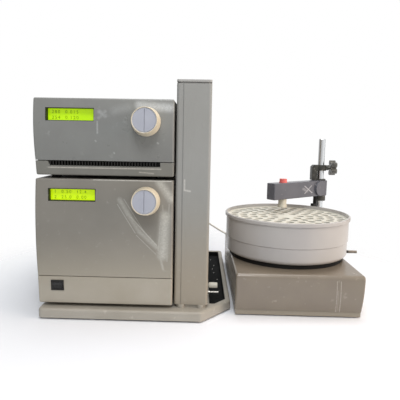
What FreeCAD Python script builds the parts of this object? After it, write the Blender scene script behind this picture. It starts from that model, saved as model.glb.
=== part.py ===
import FreeCAD, Part
import math
import os
import Sketcher

# Driving sizes of the chromatography system, in millimetres and degrees.
# Places are measured from the left side of the modules (X), from the most
# forward line of their fronts (Y, positive to the back) and from the bench (Z).
SIZES = {
    # Platform that carries the two modules and the tower
    "platform_left": 1.6,
    "platform_front": -2.0,
    "platform_back": 466.5,
    "platform_top": 21.0,
    "platform_corner_x": 60.0,
    "platform_corner_y": 71.0,
    "platform_round": 9.0,
    "platform_edge": 5.0,
    "platform_deck": 5.0,
    "platform_rib": 5.0,
    "platform_cells_x": 3.0,
    "platform_cells_y": 4.0,
    "recess_gap": 4.0,
    "recess_width": 33.5,
    "recess_rim": 10.5,
    "recess_front": 45.5,
    "recess_back": 449.0,
    "recess_corner_x": 23.0,
    "recess_corner_y": 27.0,
    "recess_depth": 13.0,
    "liner_wall": 1.6,
    "liner_gap": 0.3,
    # Feet on the bench
    "foot_height": 3.0,
    "foot_radius": 11.0,
    "foot_inset": 30.0,
    "foot_bevel": 0.8,
    # Column of the tower
    "tower_gap": 3.4,
    "tower_width": 65.6,
    "tower_front": 20.0,
    "tower_depth": 120.0,
    "tower_base_height": 7.0,
    "tower_base_inset": 4.0,
    "tower_height": 431.0,
    "tower_wall": 3.0,
    "tower_groove_x": 12.0,
    "tower_groove_width": 1.6,
    "tower_groove_depth": 1.5,
    "tower_round_left": 5.0,
    "tower_round_right": 5.5,
    "tower_cap_height": 4.0,
    "tower_cap_shadow": 3.0,
    "tower_cap_plug": 8.0,
    "tower_cap_inset": 3.5,
    "tower_cap_fit": 0.1,
    "tower_foot_radius": 7.0,
    "tower_foot_overhang": 2.5,
    # Fittings low down on the side of the tower
    "filter_y": 80.0,
    "filter_z": 47.5,
    "filter_radius": 5.9,
    "filter_length": 21.0,
    "filter_neck_radius": 3.2,
    "filter_neck_length": 3.0,
    "filter_bevel": 1.0,
    "union_y": 80.0,
    "union_z": 32.5,
    "union_radius": 2.3,
    "union_length": 23.5,
    "union_nut_radius": 3.6,
    "union_nut_length": 5.5,
    # Both modules of the stack
    "module_width": 260.0,
    "housing_back": 366.0,
    "housing_wall": 1.5,
    "housing_round": 3.0,
    "housing_vent_width": 3.0,
    "housing_vent_height": 34.0,
    "housing_vent_pitch": 9.0,
    "housing_vents": 9.0,
    "housing_vent_y": 235.0,
    "housing_vent_z": 40.0,
    "panel_depth": 22.0,
    "panel_wall": 4.0,
    "panel_seat": 11.5,
    "panel_seam": 1.4,
    "panel_round": 3.0,
    "module_gap": 6.4,
    "module_foot_radius": 9.0,
    "module_foot_inset_x": 28.0,
    "module_foot_front": 45.0,
    "module_foot_back": 330.0,
    # Pump, the lower module
    "pump_feet_height": 6.7,
    "pump_height": 243.8,
    "pump_crown": 650.0,
    "pump_recess_top": 6.8,
    "pump_recess_seam": 7.2,
    "pump_recess_low": 11.5,
    "pump_seam_height": 54.9,
    "pump_display_left": 25.0,
    "pump_display_drop": 41.9,
    "pump_display_width": 89.5,
    "pump_dial_x": 209.3,
    "pump_dial_drop": 38.7,
    "pump_dial_proud": 0.822,
    "pump_dial_tilt": 4.0,
    # Monitor, the upper module
    "monitor_height": 143.0,
    "monitor_crown": 269.0,
    "monitor_recess_top": 5.2,
    "monitor_recess_seam": 7.7,
    "monitor_recess_low": 12.2,
    "monitor_seam_height": 26.8,
    "monitor_display_left": 23.0,
    "monitor_display_drop": 41.9,
    "monitor_display_width": 90.0,
    "monitor_dial_x": 209.2,
    "monitor_dial_drop": 41.4,
    "monitor_dial_proud": 0.186,
    "monitor_dial_tilt": 4.0,
    "vent_left": 23.6,
    "vent_right": 235.0,
    "vent_height": 8.3,
    "vent_slant": 4.0,
    "vent_depth": 12.0,
    "vent_back": 1.5,
    "vent_set_back": 1.0,
    "vent_over": 1.0,
    "fin_pitch": 5.5,
    "fin_width": 1.8,
    # Displays
    "display_height": 24.0,
    "display_frame": 1.1,
    "display_front": 3.2,
    "display_depth": 5.0,
    "display_flange": 3.0,
    # Dials with a turning ring round two half-round buttons
    "dial_reach": 27.0,
    "dial_base_gap": 0.7,
    "dial_base_radius": 27.0,
    "dial_front_radius": 23.6,
    "dial_lip": 0.8,
    "dial_bore_radius": 22.3,
    "dial_running_gap": 0.05,
    "dial_core_front": 19.8,
    "dial_flange_radius": 25.5,
    "dial_flange": 2.0,
    "dial_seat_gap": 0.02,
    "button_gap": 0.35,
    "button_well_wall": 1.0,
    "button_well_drop": 1.0,
    "button_thickness": 4.4,
    "button_travel": 1.2,
    "button_rise": 1.9,
    "button_slit": 0.7,
    "button_stem_radius": 2.5,
    "button_stem_x": 9.5,
    "button_stem_length": 9.0,
    "dial_hole_margin": 1.2,
    # Power switch
    "switch_left": 25.8,
    "switch_low": 26.7,
    "switch_width": 24.7,
    "switch_height": 20.8,
    "switch_lip": 1.2,
    "switch_lip_thickness": 1.2,
    "switch_fit": 0.4,
    "switch_frame": 1.4,
    "switch_depth": 12.0,
    "rocker_gap": 0.25,
    "rocker_rise": 2.6,
    "rocker_dip": 1.1,
    "rocker_tilt": 8.0,
    # Rear panels
    "rear_wall": 1.5,
    "inlet_width": 27.5,
    "inlet_height": 20.0,
    "inlet_x": 34.0,
    "inlet_z": 20.0,
    "inlet_flange": 3.0,
    "inlet_flange_thickness": 2.0,
    "inlet_depth": 16.0,
    "inlet_wall": 2.0,
    "inlet_blade": 1.0,
    "inlet_pin_step": 7.0,
    "inlet_pin_length": 11.0,
    "grille_x": 150.0,
    "grille_z": 30.0,
    "grille_slot": 3.0,
    "grille_length": 60.0,
    "grille_pitch": 8.0,
    "grille_slots": 7.0,
    # Pump heads on the left wall, and what drives them
    "head_half": 22.0,
    "head_round": 8.0,
    "head_length": 30.0,
    "head_cap_radius": 15.0,
    "head_cap_length": 8.0,
    "head_y": 165.0,
    "head_pitch_y": 60.0,
    "head_low_z": 75.0,
    "head_pitch_z": 100.0,
    "valve_radius": 6.5,
    "valve_length": 9.0,
    "valve_x": 14.0,
    "drive_length": 110.0,
    "drive_margin": 6.0,
    "motor_radius": 26.0,
    "motor_length": 55.0,
    "board_thickness": 1.6,
    "board_gap": 10.0,
    "board_front": 60.0,
    "board_back": 340.0,
    "board_margin": 20.0,
    "lamp_length": 120.0,
    "lamp_width": 80.0,
    "lamp_height": 60.0,
    "lamp_left": 40.0,
    "lamp_front": 120.0,
    # Base of the fraction collector
    "collector_gap": 7.0,
    "collector_width": 252.5,
    "collector_front": 28.0,
    "collector_depth": 387.0,
    "collector_top": 89.5,
    "collector_seam": 12.0,
    "collector_edge": 8.0,
    "collector_recess_low": 13.0,
    "collector_side_round": 4.0,
    "collector_wall": 3.0,
    "collector_floor": 2.3,
    "chassis_inset": 1.6,
    "chassis_wall": 2.5,
    # Bowl, its spindle and the tube carrier
    "bowl_off_middle": 0.35,
    "bowl_inset_y": 220.6,
    "bowl_rise": 8.4,
    "bowl_band_height": 33.9,
    "bowl_ledge_height": 76.1,
    "bowl_lip_height": 79.1,
    "bowl_height": 87.9,
    "bowl_band_radius": 135.2,
    "bowl_wall_radius": 136.8,
    "bowl_rim_radius": 139.8,
    "bowl_foot_radius": 127.0,
    "bowl_wall": 3.2,
    "bowl_floor": 3.0,
    "spindle_radius": 6.0,
    "spindle_low": 44.0,
    "spindle_flange_radius": 22.0,
    "spindle_nose": 7.0,
    "bearing_radius": 10.0,
    "bearing_flange_radius": 14.0,
    "bearing_flange": 2.0,
    "bearing_length": 28.0,
    "bearing_gap": 0.5,
    "running_gap": 0.05,
    "holder_gap": 0.4,
    "holder_thickness": 3.0,
    "holder_lip_width": 3.0,
    "holder_lip_height": 1.4,
    "tube_hole_radius": 9.0,
    "ring_outer_radius": 120.0,
    "ring_pitch": 22.0,
    "ring_outer_tubes": 31.0,
    "ring_fewer_tubes": 6.0,
    "tube_rings": 5.0,
    "support_thickness": 3.0,
    "column_radius": 10.0,
    "column_flange_radius": 20.0,
    "column_flange": 4.0,
    # Gutter under the bowl, with its outlet
    "gutter_outer": 127.5,
    "gutter_inner": 112.0,
    "gutter_wall": 3.0,
    "gutter_floor": 2.0,
    "gutter_gap": 1.2,
    "spout_y": 10.6,
    "spout_height": 2.1,
    "spout_root": 140.0,
    "spout_root_radius": 3.75,
    "spout_radius": 3.25,
    "spout_bore": 1.75,
    "spout_reach": 170.0,
    # Friction drive of the bowl
    "sleeve_radius": 12.5,
    "sleeve_rise": 11.5,
    "sleeve_height": 29.0,
    "sleeve_bearing": 60.0,
    "sleeve_gap": 0.3,
    "drive_shaft_radius": 3.0,
    "drive_hole_radius": 5.0,
    "drive_shaft_sunk": 20.0,
    "drive_shaft_over": 2.0,
    "drive_motor_side": 42.0,
    "drive_motor_height": 38.0,
    # Post and the arm that it carries
    "post_inset_x": 13.1,
    "post_inset_y": 80.0,
    "post_radius": 8.0,
    "post_height": 267.5,
    "post_bevel": 1.5,
    "post_sunk": 12.0,
    "carrier_collar_radius": 14.5,
    "carrier_rise": 11.2,
    "carrier_sleeve_radius": 12.0,
    "collar_height": 13.5,
    "arm_height": 39.5,
    "arm_play": 0.4,
    "clamp_shoulder": 3.0,
    "clamp_height": 39.5,
    "clamp_ring_height": 14.5,
    "clamp_ring_radius": 13.0,
    "clamp_block_left": 25.0,
    "clamp_block_right": 9.0,
    "clamp_block_half": 10.0,
    "clamp_block_bevel": 5.0,
    "clamp_tooth_start": 5.0,
    "clamp_tooth_pitch": 5.0,
    "clamp_tooth_width": 2.5,
    "clamp_tooth_depth": 2.2,
    "barrel_radius": 6.6,
    "screw_drop": 7.0,
    "barrel_reach": 19.0,
    "screw_radius": 3.5,
    "screw_tip_gap": 0.3,
    "knob_start": 23.0,
    "knob_thickness": 14.0,
    "knob_radius": 20.0,
    "knob_lobe_radius": 6.5,
    "knob_hub_radius": 10.0,
    "knob_lobes": 5.0,
    "arm_bearing": 218.1,
    "arm_length": 187.0,
    "arm_half_width": 12.5,
    "arm_hub_radius": 17.0,
    "arm_edge": 2.0,
    "arm_boss_radius": 19.0,
    "arm_boss_height": 5.1,
    "arm_boss_distance": 18.0,
    "nozzle_distance": 144.2,
    "nozzle_reach": 20.5,
    "nozzle_radius": 11.0,
    "nozzle_neck_radius": 9.8,
    "nozzle_band": 6.5,
    "nozzle_stem_radius": 6.0,
    "nozzle_bore": 1.0,
    "nut_radius": 8.8,
    "nut_height": 9.0,
    "nut_flange": 2.0,
    "nut_flange_radius": 9.6,
    "sensor_distance": 15.1,
    "sensor_depth": 5.0,
    "sensor_side": 9.0,
    "sensor_reach": 29.5,
    "sensor_foot_length": 9.0,
    "sensor_foot_height": 9.0,
    # Communication cable between the backs of the pump and the collector
    "cable_radius": 2.5,
    "plug_width": 13.0,
    "plug_height": 11.0,
    "plug_length": 20.0,
}

# Corners of the cable's way from the pump to the collector
CABLE_ROUTE = [
    (225.0, 386.0, 165.0), (225.0, 423.0, 165.0), (252.0, 452.0, 151.0),
    (300.0, 461.0, 129.0), (347.0, 466.5, 97.0), (393.0, 470.0, 69.0),
    (432.0, 480.0, 58.0), (458.0, 480.0, 52.0), (480.0, 461.0, 50.0),
    (480.0, 435.0, 50.0),
]
# Part of half the shorter run that stays straight between two arcs
ARC_SPARE = 0.1
# How far the swept volume may be off its section times its length
CABLE_TOLERANCE = 0.01
# Difference under which two lengths count as the same
TOUCH = 0.01
for corner, spot in enumerate(CABLE_ROUTE):
    for axis, number in zip("xyz", spot):
        SIZES[f"cable_{axis}_{corner}_at"] = number


class Size:
    """A number that carries along the sheet expression it is worked out from."""

    def __init__(self, value, text):
        self.value = float(value)
        self.text = text

    @staticmethod
    def of(item):
        return item if isinstance(item, Size) else Size(item, repr(float(item)))

    def __add__(self, other):
        other = Size.of(other)
        return Size(self.value + other.value, f"({self.text} + {other.text})")

    def __radd__(self, other):
        return Size.of(other) + self

    def __sub__(self, other):
        other = Size.of(other)
        return Size(self.value - other.value, f"({self.text} - {other.text})")

    def __rsub__(self, other):
        return Size.of(other) - self

    def __mul__(self, other):
        other = Size.of(other)
        return Size(self.value * other.value, f"({self.text} * {other.text})")

    __rmul__ = __mul__

    def __truediv__(self, other):
        other = Size.of(other)
        return Size(self.value / other.value, f"({self.text} / {other.text})")

    def __neg__(self):
        return Size(-self.value, f"(-1 * {self.text})")


def root_of(size):
    return Size(math.sqrt(size.value), f"sqrt({size.text})")


def sine(angle):
    return Size(math.sin(math.radians(angle.value)), f"sin({angle.text})")


def cosine(angle):
    return Size(math.cos(math.radians(angle.value)), f"cos({angle.text})")


class Sheet:
    """The sizes of the sheet, each one an attribute of the same name."""


class Circle:
    def __init__(self, x, y, radius):
        self.x = Size.of(x)
        self.y = Size.of(y)
        self.radius = Size.of(radius)


doc = FreeCAD.newDocument("chromatography_system")
cells = doc.addObject("Spreadsheet::Sheet", "Sizes")
d = Sheet()
for row, (alias, number) in enumerate(SIZES.items(), start=1):
    cells.set(f"A{row}", alias.replace("_", " "))
    cells.set(f"B{row}", str(number))
    cells.setAlias(f"B{row}", alias)
    setattr(d, alias, Size(number, f"Sizes.{alias}"))
doc.recompute()

# Places that follow from the sizes, from the left to the right and from the bench up
d.tower_left = d.module_width + d.tower_gap
d.recess_left = d.tower_left + d.tower_width + d.recess_gap
d.recess_right = d.recess_left + d.recess_width
d.platform_right = d.recess_right + d.recess_rim
d.collector_left = d.platform_right + d.collector_gap
d.bowl_x = d.collector_left + d.collector_width / 2 - d.bowl_off_middle
d.bowl_y = d.collector_front + d.collector_depth - d.bowl_inset_y
d.post_x = d.collector_left + d.collector_width - d.post_inset_x
d.post_y = d.collector_front + d.collector_depth - d.post_inset_y
d.pump_bottom = d.platform_top + d.pump_feet_height
d.bowl_bottom = d.collector_top + d.bowl_rise
d.bowl_crease = d.bowl_bottom + d.bowl_band_height
d.bowl_ledge = d.bowl_bottom + d.bowl_ledge_height
d.bowl_lip = d.bowl_bottom + d.bowl_lip_height
d.bowl_top = d.bowl_bottom + d.bowl_height
d.sleeve_low = d.collector_top + d.sleeve_rise
d.sleeve_high = d.sleeve_low + d.sleeve_height
d.carrier_low = d.bowl_top + d.carrier_rise
d.arm_low = d.carrier_low + d.collar_height
d.arm_top = d.arm_low + d.arm_height
d.clamp_top = d.arm_top + d.clamp_height
d.nozzle_low = d.arm_low - d.nozzle_reach
d.sensor_low = d.arm_low - d.sensor_reach
d.post_top = d.collector_top + d.post_height

PARTS = []


# Sketch and feature helpers


def bind(item, path, size):
    item.setExpression(path, Size.of(size).text)


def origin_feature(body, role):
    return next(item for item in body.Origin.OriginFeatures if item.Role == role)


def new_body(label):
    body = doc.addObject("PartDesign::Body", label)
    body.Label = label
    PARTS.append(body)
    return body


def place(item, x, y, z, axis=None, angle=0.0):
    """Puts a sub-part at a point of the shared frame, turned about one of its axes."""
    angle = Size.of(angle)
    if axis is not None:
        turn = FreeCAD.Rotation(FreeCAD.Vector(*axis), angle.value)
        item.Placement = FreeCAD.Placement(FreeCAD.Vector(), turn)
        bind(item, "Placement.Rotation.Angle", angle)
    bind(item, "Placement.Base.x", Size.of(x) - FRAME_X)
    bind(item, "Placement.Base.y", Size.of(y) - FRAME_Y)
    bind(item, "Placement.Base.z", Size.of(z))


def new_sketch(body, name, role, start):
    sketch = body.newObject("Sketcher::SketchObject", name)
    sketch.AttachmentSupport = [(origin_feature(body, role), "")]
    sketch.MapMode = "FlatFace"
    start = Size.of(start)
    bind(sketch, "AttachmentOffset.Base.z", -start if role == "XZ_Plane" else start)
    return sketch


def fix_point(sketch, index, place_on_edge, x, y):
    for kind, number, axis in (("DistanceX", x, -2), ("DistanceY", y, -1)):
        number = Size.of(number)
        if abs(number.value) < 1e-9:
            rule = Sketcher.Constraint("PointOnObject", index, place_on_edge, axis)
            sketch.addConstraint(rule)
        else:
            rule = Sketcher.Constraint(kind, -1, 1, index, place_on_edge, number.value)
            bind(sketch, f"Constraints[{sketch.addConstraint(rule)}]", number)


def arc_between(start, end, radius):
    """Short arc from start to end; a positive radius turns left, a negative one right."""
    chord = end - start
    half = chord.Length / 2
    side = FreeCAD.Vector(-chord.y, chord.x, 0).normalize() * math.copysign(1.0, radius)
    centre = (start + end) * 0.5 + side * math.sqrt(max(radius ** 2 - half ** 2, 0.0))
    circle = Part.Circle(centre, FreeCAD.Vector(0, 0, 1), abs(radius))
    first, last = (start, end) if radius > 0 else (end, start)
    angles = [math.atan2(point.y - centre.y, point.x - centre.x) for point in (first, last)]
    if angles[1] < angles[0]:
        angles[1] += 2 * math.pi
    return Part.ArcOfCircle(circle, angles[0], angles[1])


def draw_outline(sketch, corners):
    """Closed outline of corners (x, y), or (x, y, radius) where an arc leads to the next."""
    points = [FreeCAD.Vector(Size.of(c[0]).value, Size.of(c[1]).value, 0) for c in corners]
    first = sketch.GeometryCount
    ends = []
    for number, corner in enumerate(corners):
        start = points[number]
        end = points[(number + 1) % len(points)]
        if len(corner) == 2:
            sketch.addGeometry(Part.LineSegment(start, end), False)
            ends.append((1, 2))
        else:
            radius = Size.of(corner[2])
            sketch.addGeometry(arc_between(start, end, radius.value), False)
            ends.append((1, 2) if radius.value > 0 else (2, 1))
            size = radius if radius.value > 0 else -radius
            rule = Sketcher.Constraint("Radius", first + number, size.value)
            bind(sketch, f"Constraints[{sketch.addConstraint(rule)}]", size)
    for number in range(len(corners)):
        after = (number + 1) % len(corners)
        rule = Sketcher.Constraint(
            "Coincident", first + number, ends[number][1], first + after, ends[after][0])
        sketch.addConstraint(rule)
    for number, corner in enumerate(corners):
        fix_point(sketch, first + number, ends[number][0], corner[0], corner[1])


def draw_circle(sketch, ring):
    index = sketch.GeometryCount
    centre = FreeCAD.Vector(ring.x.value, ring.y.value, 0)
    circle = Part.Circle(centre, FreeCAD.Vector(0, 0, 1), ring.radius.value)
    sketch.addGeometry(circle, False)
    rule = Sketcher.Constraint("Radius", index, ring.radius.value)
    bind(sketch, f"Constraints[{sketch.addConstraint(rule)}]", ring.radius)
    fix_point(sketch, index, 3, ring.x, ring.y)


def draw(sketch, outlines):
    for outline in outlines:
        if isinstance(outline, Circle):
            draw_circle(sketch, outline)
        else:
            draw_outline(sketch, outline)


def rectangle(low_x, low_y, high_x, high_y):
    return [(low_x, low_y), (high_x, low_y), (high_x, high_y), (low_x, high_y)]


def rounded(low_x, low_y, high_x, high_y, radius):
    return [
        (low_x + radius, low_y), (high_x - radius, low_y, radius),
        (high_x, low_y + radius), (high_x, high_y - radius, radius),
        (high_x - radius, high_y), (low_x + radius, high_y, radius),
        (low_x, high_y - radius), (low_x, low_y + radius, radius),
    ]


def pad(body, name, role, start, length, *outlines):
    """Adds material from start towards the plane's positive axis."""
    sketch = new_sketch(body, name + "_sketch", role, start)
    draw(sketch, outlines)
    feature = body.newObject("PartDesign::Pad", name)
    feature.Profile = sketch
    bind(feature, "Length", length)
    feature.Reversed = role == "XZ_Plane"
    return feature


def cut(body, name, role, start, length, *outlines):
    """Takes material away from start towards the plane's positive axis."""
    sketch = new_sketch(body, name + "_sketch", role, start)
    draw(sketch, outlines)
    feature = body.newObject("PartDesign::Pocket", name)
    feature.Profile = sketch
    bind(feature, "Length", length)
    feature.Reversed = role != "XZ_Plane"
    return feature


def turn(body, name, corners):
    """Turns a profile of (radius, height) corners about the body's Z axis."""
    sketch = new_sketch(body, name + "_sketch", "XZ_Plane", 0.0)
    draw_outline(sketch, corners)
    feature = body.newObject("PartDesign::Revolution", name)
    feature.Profile = sketch
    feature.ReferenceAxis = (sketch, ["V_Axis"])
    feature.Angle = 360.0
    return feature


def copies_round(body, name, original, count):
    feature = body.newObject("PartDesign::PolarPattern", name)
    feature.Originals = [original]
    feature.Axis = (origin_feature(body, "Z_Axis"), [""])
    feature.Angle = 360.0
    bind(feature, "Occurrences", count)
    body.Tip = feature
    return feature


def copies_along(body, name, original, role, pitch, count):
    feature = body.newObject("PartDesign::LinearPattern", name)
    feature.Originals = [original]
    feature.Direction = (origin_feature(body, role), [""])
    bind(feature, "Occurrences", count)
    bind(feature, "Length", pitch * (count - 1.0))
    body.Tip = feature
    return feature


def edges_where(shape, test):
    names = []
    for number, edge in enumerate(shape.Edges, start=1):
        box = edge.BoundBox
        if test(box):
            names.append(f"Edge{number}")
    return names


def soften(body, name, kind, size, test):
    """Rounds or bevels the edges of the body's tip whose boxes pass the test."""
    doc.recompute()
    base = body.Tip
    feature = body.newObject("PartDesign::" + kind, name)
    feature.Base = (base, edges_where(base.Shape, test))
    bind(feature, "Radius" if kind == "Fillet" else "Size", size)
    return feature


def near(one, other):
    return abs(one - Size.of(other).value) < TOUCH


# Platform, its liner and the feet on the bench


def platform_outline():
    return [
        (d.platform_left, d.platform_front),
        (d.platform_right - d.platform_corner_x, d.platform_front),
        (d.platform_right, d.platform_front + d.platform_corner_y),
        (d.platform_right, d.platform_back),
        (d.platform_left, d.platform_back),
    ]


def recess_outline(gap):
    """Outline of the recess beside the tower, drawn in by a gap all round."""
    return [
        (d.recess_left + gap, d.recess_front + gap),
        (d.recess_right - d.recess_corner_x, d.recess_front + gap),
        (d.recess_right - gap, d.recess_front + d.recess_corner_y),
        (d.recess_right - gap, d.recess_back - gap),
        (d.recess_left + gap, d.recess_back - gap),
    ]


def platform_foot_centres():
    return [(x, y)
            for x in (d.platform_left + d.foot_inset, d.recess_left - d.foot_inset)
            for y in (d.platform_front + d.foot_inset, d.platform_back - d.foot_inset)]


def build_platform():
    body = new_body("platform_base")
    height = d.platform_top - d.foot_height
    pad(body, "deck", "XY_Plane", d.foot_height, height, platform_outline())
    soften(body, "corner_rounds", "Fillet", d.platform_round,
           lambda box: near(box.ZLength, height) and box.XLength < TOUCH)
    soften(body, "top_edge", "Fillet", d.platform_edge,
           lambda box: near(box.ZMin, d.platform_top) and near(box.ZMax, d.platform_top))
    floor = d.platform_top - d.recess_depth
    cut(body, "recess", "XY_Plane", floor, d.recess_depth, recess_outline(0.0))
    cell_area_x = (d.platform_right - d.platform_corner_x - d.platform_left
                   - d.platform_rib)
    cell_area_y = d.platform_back - d.platform_front - d.platform_rib
    pitch_x = cell_area_x / d.platform_cells_x
    pitch_y = cell_area_y / d.platform_cells_y
    low_x = d.platform_left + d.platform_rib
    low_y = d.platform_front + d.platform_rib
    cell = rectangle(low_x, low_y, low_x + pitch_x - d.platform_rib,
                     low_y + pitch_y - d.platform_rib)
    depth = height - d.platform_deck
    cell_cut = cut(body, "cell", "XY_Plane", d.foot_height, depth, cell)
    steps = body.newObject("PartDesign::MultiTransform", "cells")
    steps.Originals = [cell_cut]
    rows = []
    for name, role, pitch, count in (("cells_across", "X_Axis", pitch_x, d.platform_cells_x),
                                     ("cells_back", "Y_Axis", pitch_y, d.platform_cells_y)):
        step = body.newObject("PartDesign::LinearPattern", name)
        step.Direction = (origin_feature(body, role), [""])
        bind(step, "Occurrences", count)
        bind(step, "Length", pitch * (count - 1.0))
        rows.append(step)
    steps.Transformations = rows
    body.Tip = steps
    bosses = [Circle(x, y, d.foot_radius) for x, y in platform_foot_centres()]
    pad(body, "foot_bosses", "XY_Plane", d.foot_height, depth, *bosses)
    place(body, 0.0, 0.0, 0.0)


def build_drip_tray():
    body = new_body("drip_tray")
    floor = d.platform_top - d.recess_depth
    pad(body, "liner", "XY_Plane", floor, d.recess_depth, recess_outline(d.liner_gap))
    inside = recess_outline(d.liner_gap + d.liner_wall)
    cut(body, "hollow", "XY_Plane", floor + d.liner_wall, d.recess_depth, inside)
    place(body, 0.0, 0.0, 0.0)


def build_bench_feet():
    """Eight flat rubber feet: four under the platform and four under the collector."""
    body = new_body("bench_feet")
    left = d.collector_left + d.foot_inset
    right = d.collector_left + d.collector_width - d.foot_inset
    front = d.collector_front + d.collector_recess_low + d.foot_inset
    back = d.collector_front + d.collector_depth - d.foot_inset
    collector = [(x, y) for x in (left, right) for y in (front, back)]
    pads = (("platform_feet", platform_foot_centres(), d.foot_height),
            ("collector_feet", collector, d.collector_floor))
    for name, centres, height in pads:
        rings = [Circle(x, y, d.foot_radius) for x, y in centres]
        pad(body, name, "XY_Plane", 0.0, height, *rings)
    soften(body, "foot_bevels", "Chamfer", d.foot_bevel,
           lambda box: near(box.ZMin, 0.0) and near(box.ZMax, 0.0))
    place(body, 0.0, 0.0, 0.0)


# Tower beside the modules


def build_tower_base():
    body = new_body("tower_base")
    inset = d.tower_base_inset
    right = d.tower_left + d.tower_width
    back = d.tower_front + d.tower_depth
    plate = rounded(d.tower_left + inset, d.tower_front + inset, right - inset,
                    back - inset, d.tower_base_inset)
    pad(body, "plinth", "XY_Plane", d.platform_top, d.tower_base_height, plate)
    foot_y = d.tower_front + d.tower_foot_radius - d.tower_foot_overhang
    feet = [Circle(d.tower_left + 2 * d.tower_foot_radius, foot_y, d.tower_foot_radius),
            Circle(right - 2 * d.tower_foot_radius, foot_y, d.tower_foot_radius)]
    pad(body, "front_feet", "XY_Plane", d.platform_top, d.tower_base_height, *feet)
    place(body, 0.0, 0.0, 0.0)


def tower_section(left, front, right, back):
    """Section of the column: one round at each side and a groove down the front."""
    a = d.tower_round_left
    b = d.tower_round_right
    groove = left + d.tower_groove_x
    return [
        (left + a, front), (groove, front), (groove, front + d.tower_groove_depth),
        (groove + d.tower_groove_width, front + d.tower_groove_depth),
        (groove + d.tower_groove_width, front), (right - b, front, b),
        (right, front + b), (right, back - b, b), (right - b, back),
        (left + a, back, a), (left, back - a), (left, front + a, a),
    ]


def build_tower():
    low = d.platform_top + d.tower_base_height
    column_height = d.tower_height - d.tower_cap_height - d.tower_cap_shadow
    left = d.tower_left
    right = left + d.tower_width
    front = d.tower_front
    back = front + d.tower_depth
    wall = d.tower_wall
    body = new_body("tower_column")
    bore = rounded(left + wall, front + wall, right - wall, back - wall, wall)
    pad(body, "column", "XY_Plane", low, column_height,
        tower_section(left, front, right, back), bore)
    place(body, 0.0, 0.0, 0.0)

    cap = new_body("tower_cap")
    top = low + column_height
    inset = d.tower_cap_inset
    neck = rounded(left + inset, front + inset, right - inset, back - inset, wall)
    fit = d.tower_cap_fit
    plug = rounded(left + wall + fit, front + wall + fit, right - wall - fit,
                   back - wall - fit, wall)
    pad(cap, "plug", "XY_Plane", top - d.tower_cap_plug, d.tower_cap_plug, plug)
    pad(cap, "neck", "XY_Plane", top, d.tower_cap_shadow, neck)
    lid = rounded(left, front, right, back, d.tower_round_left)
    pad(cap, "lid", "XY_Plane", top + d.tower_cap_shadow, d.tower_cap_height, lid)
    place(cap, 0.0, 0.0, 0.0)


def build_side_fittings():
    """Two fittings that stick out of the tower's right side, turned about its X."""
    side = d.tower_left + d.tower_width
    filter_body = new_body("inline_filter")
    neck = d.filter_neck_radius
    bulge = d.filter_radius
    end = d.filter_length
    edge = d.filter_bevel
    turn(filter_body, "housing", [
        (0.0, 0.0), (neck, 0.0), (neck, d.filter_neck_length),
        (bulge - edge, d.filter_neck_length), (bulge, d.filter_neck_length + edge),
        (bulge, end - edge), (bulge - edge, end), (0.0, end)])
    place(filter_body, side, d.filter_y, d.filter_z, (0, 1, 0), 90.0)

    union = new_body("tube_union")
    nut = d.union_nut_radius
    turn(union, "stem", [
        (0.0, 0.0), (nut, 0.0), (nut, d.union_nut_length),
        (d.union_radius, d.union_nut_length), (d.union_radius, d.union_length),
        (0.0, d.union_length)])
    place(union, side, d.union_y, d.union_z, (0, 1, 0), 90.0)


# Modules of the stack


class Module:
    """The sizes that tell one module from the other."""

    def __init__(self, name, bottom):
        self.name = name
        self.bottom = Size.of(bottom)
        for word in ("height", "crown", "recess_top", "recess_seam", "recess_low",
                     "seam_height", "display_left", "display_drop", "display_width",
                     "dial_x", "dial_drop", "dial_proud", "dial_tilt"):
            setattr(self, word, getattr(d, f"{name}_{word}"))
        self.display_low = self.height - self.display_drop
        self.dial_height = self.height - self.dial_drop
        self.dial_inset = self.front_at(self.dial_height) - self.dial_proud

    def front_at(self, z):
        """How far back the crowned front lies at a height above the module's bottom."""
        low = self.seam_height + d.panel_seam
        rise = self.height - low
        lean = self.recess_seam - self.recess_top
        chord = root_of(rise * rise + lean * lean)
        deep = root_of(self.crown * self.crown - chord * chord / 4)
        centre_y = (self.recess_top + self.recess_seam) / 2 + rise / chord * deep
        centre_z = (self.height + low) / 2 + lean / chord * deep
        above = z - centre_z
        return centre_y - root_of(self.crown * self.crown - above * above)


PUMP = Module("pump", d.pump_bottom)
MONITOR = Module("monitor", d.pump_bottom + d.pump_height + d.module_gap)


# Reference point of the whole system: the middle of its box, on the bench

HEAD_REACH = d.head_length + d.head_cap_length
SPOUT_TIP = d.bowl_x + d.spout_reach
DIAL_FRONT = (d.dial_reach * cosine(MONITOR.dial_tilt)
              + d.dial_front_radius * sine(MONITOR.dial_tilt) - MONITOR.dial_inset)
FRAME_X = (SPOUT_TIP - HEAD_REACH) / 2
FRAME_Y = (d.platform_back - DIAL_FRONT) / 2


def build_housing(module):
    """Folded steel sleeve of a module, open to the front and the back."""
    body = new_body(f"{module.name}_housing")
    wall = d.housing_wall
    outer = rounded(0.0, 0.0, d.module_width, module.height, d.housing_round)
    inner = rectangle(wall, wall, d.module_width - wall, module.height - wall)
    pad(body, "sleeve", "XZ_Plane", d.panel_depth, d.housing_back - d.panel_depth,
        outer, inner)
    low = d.housing_vent_z
    slot = rectangle(d.housing_vent_y, low, d.housing_vent_y + d.housing_vent_width,
                     low + d.housing_vent_height)
    vent = cut(body, "vent", "YZ_Plane", -wall, d.module_width + 2 * wall, slot)
    copies_along(body, "vents", vent, "Y_Axis", d.housing_vent_pitch, d.housing_vents)
    place(body, 0.0, 0.0, module.bottom)


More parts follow.
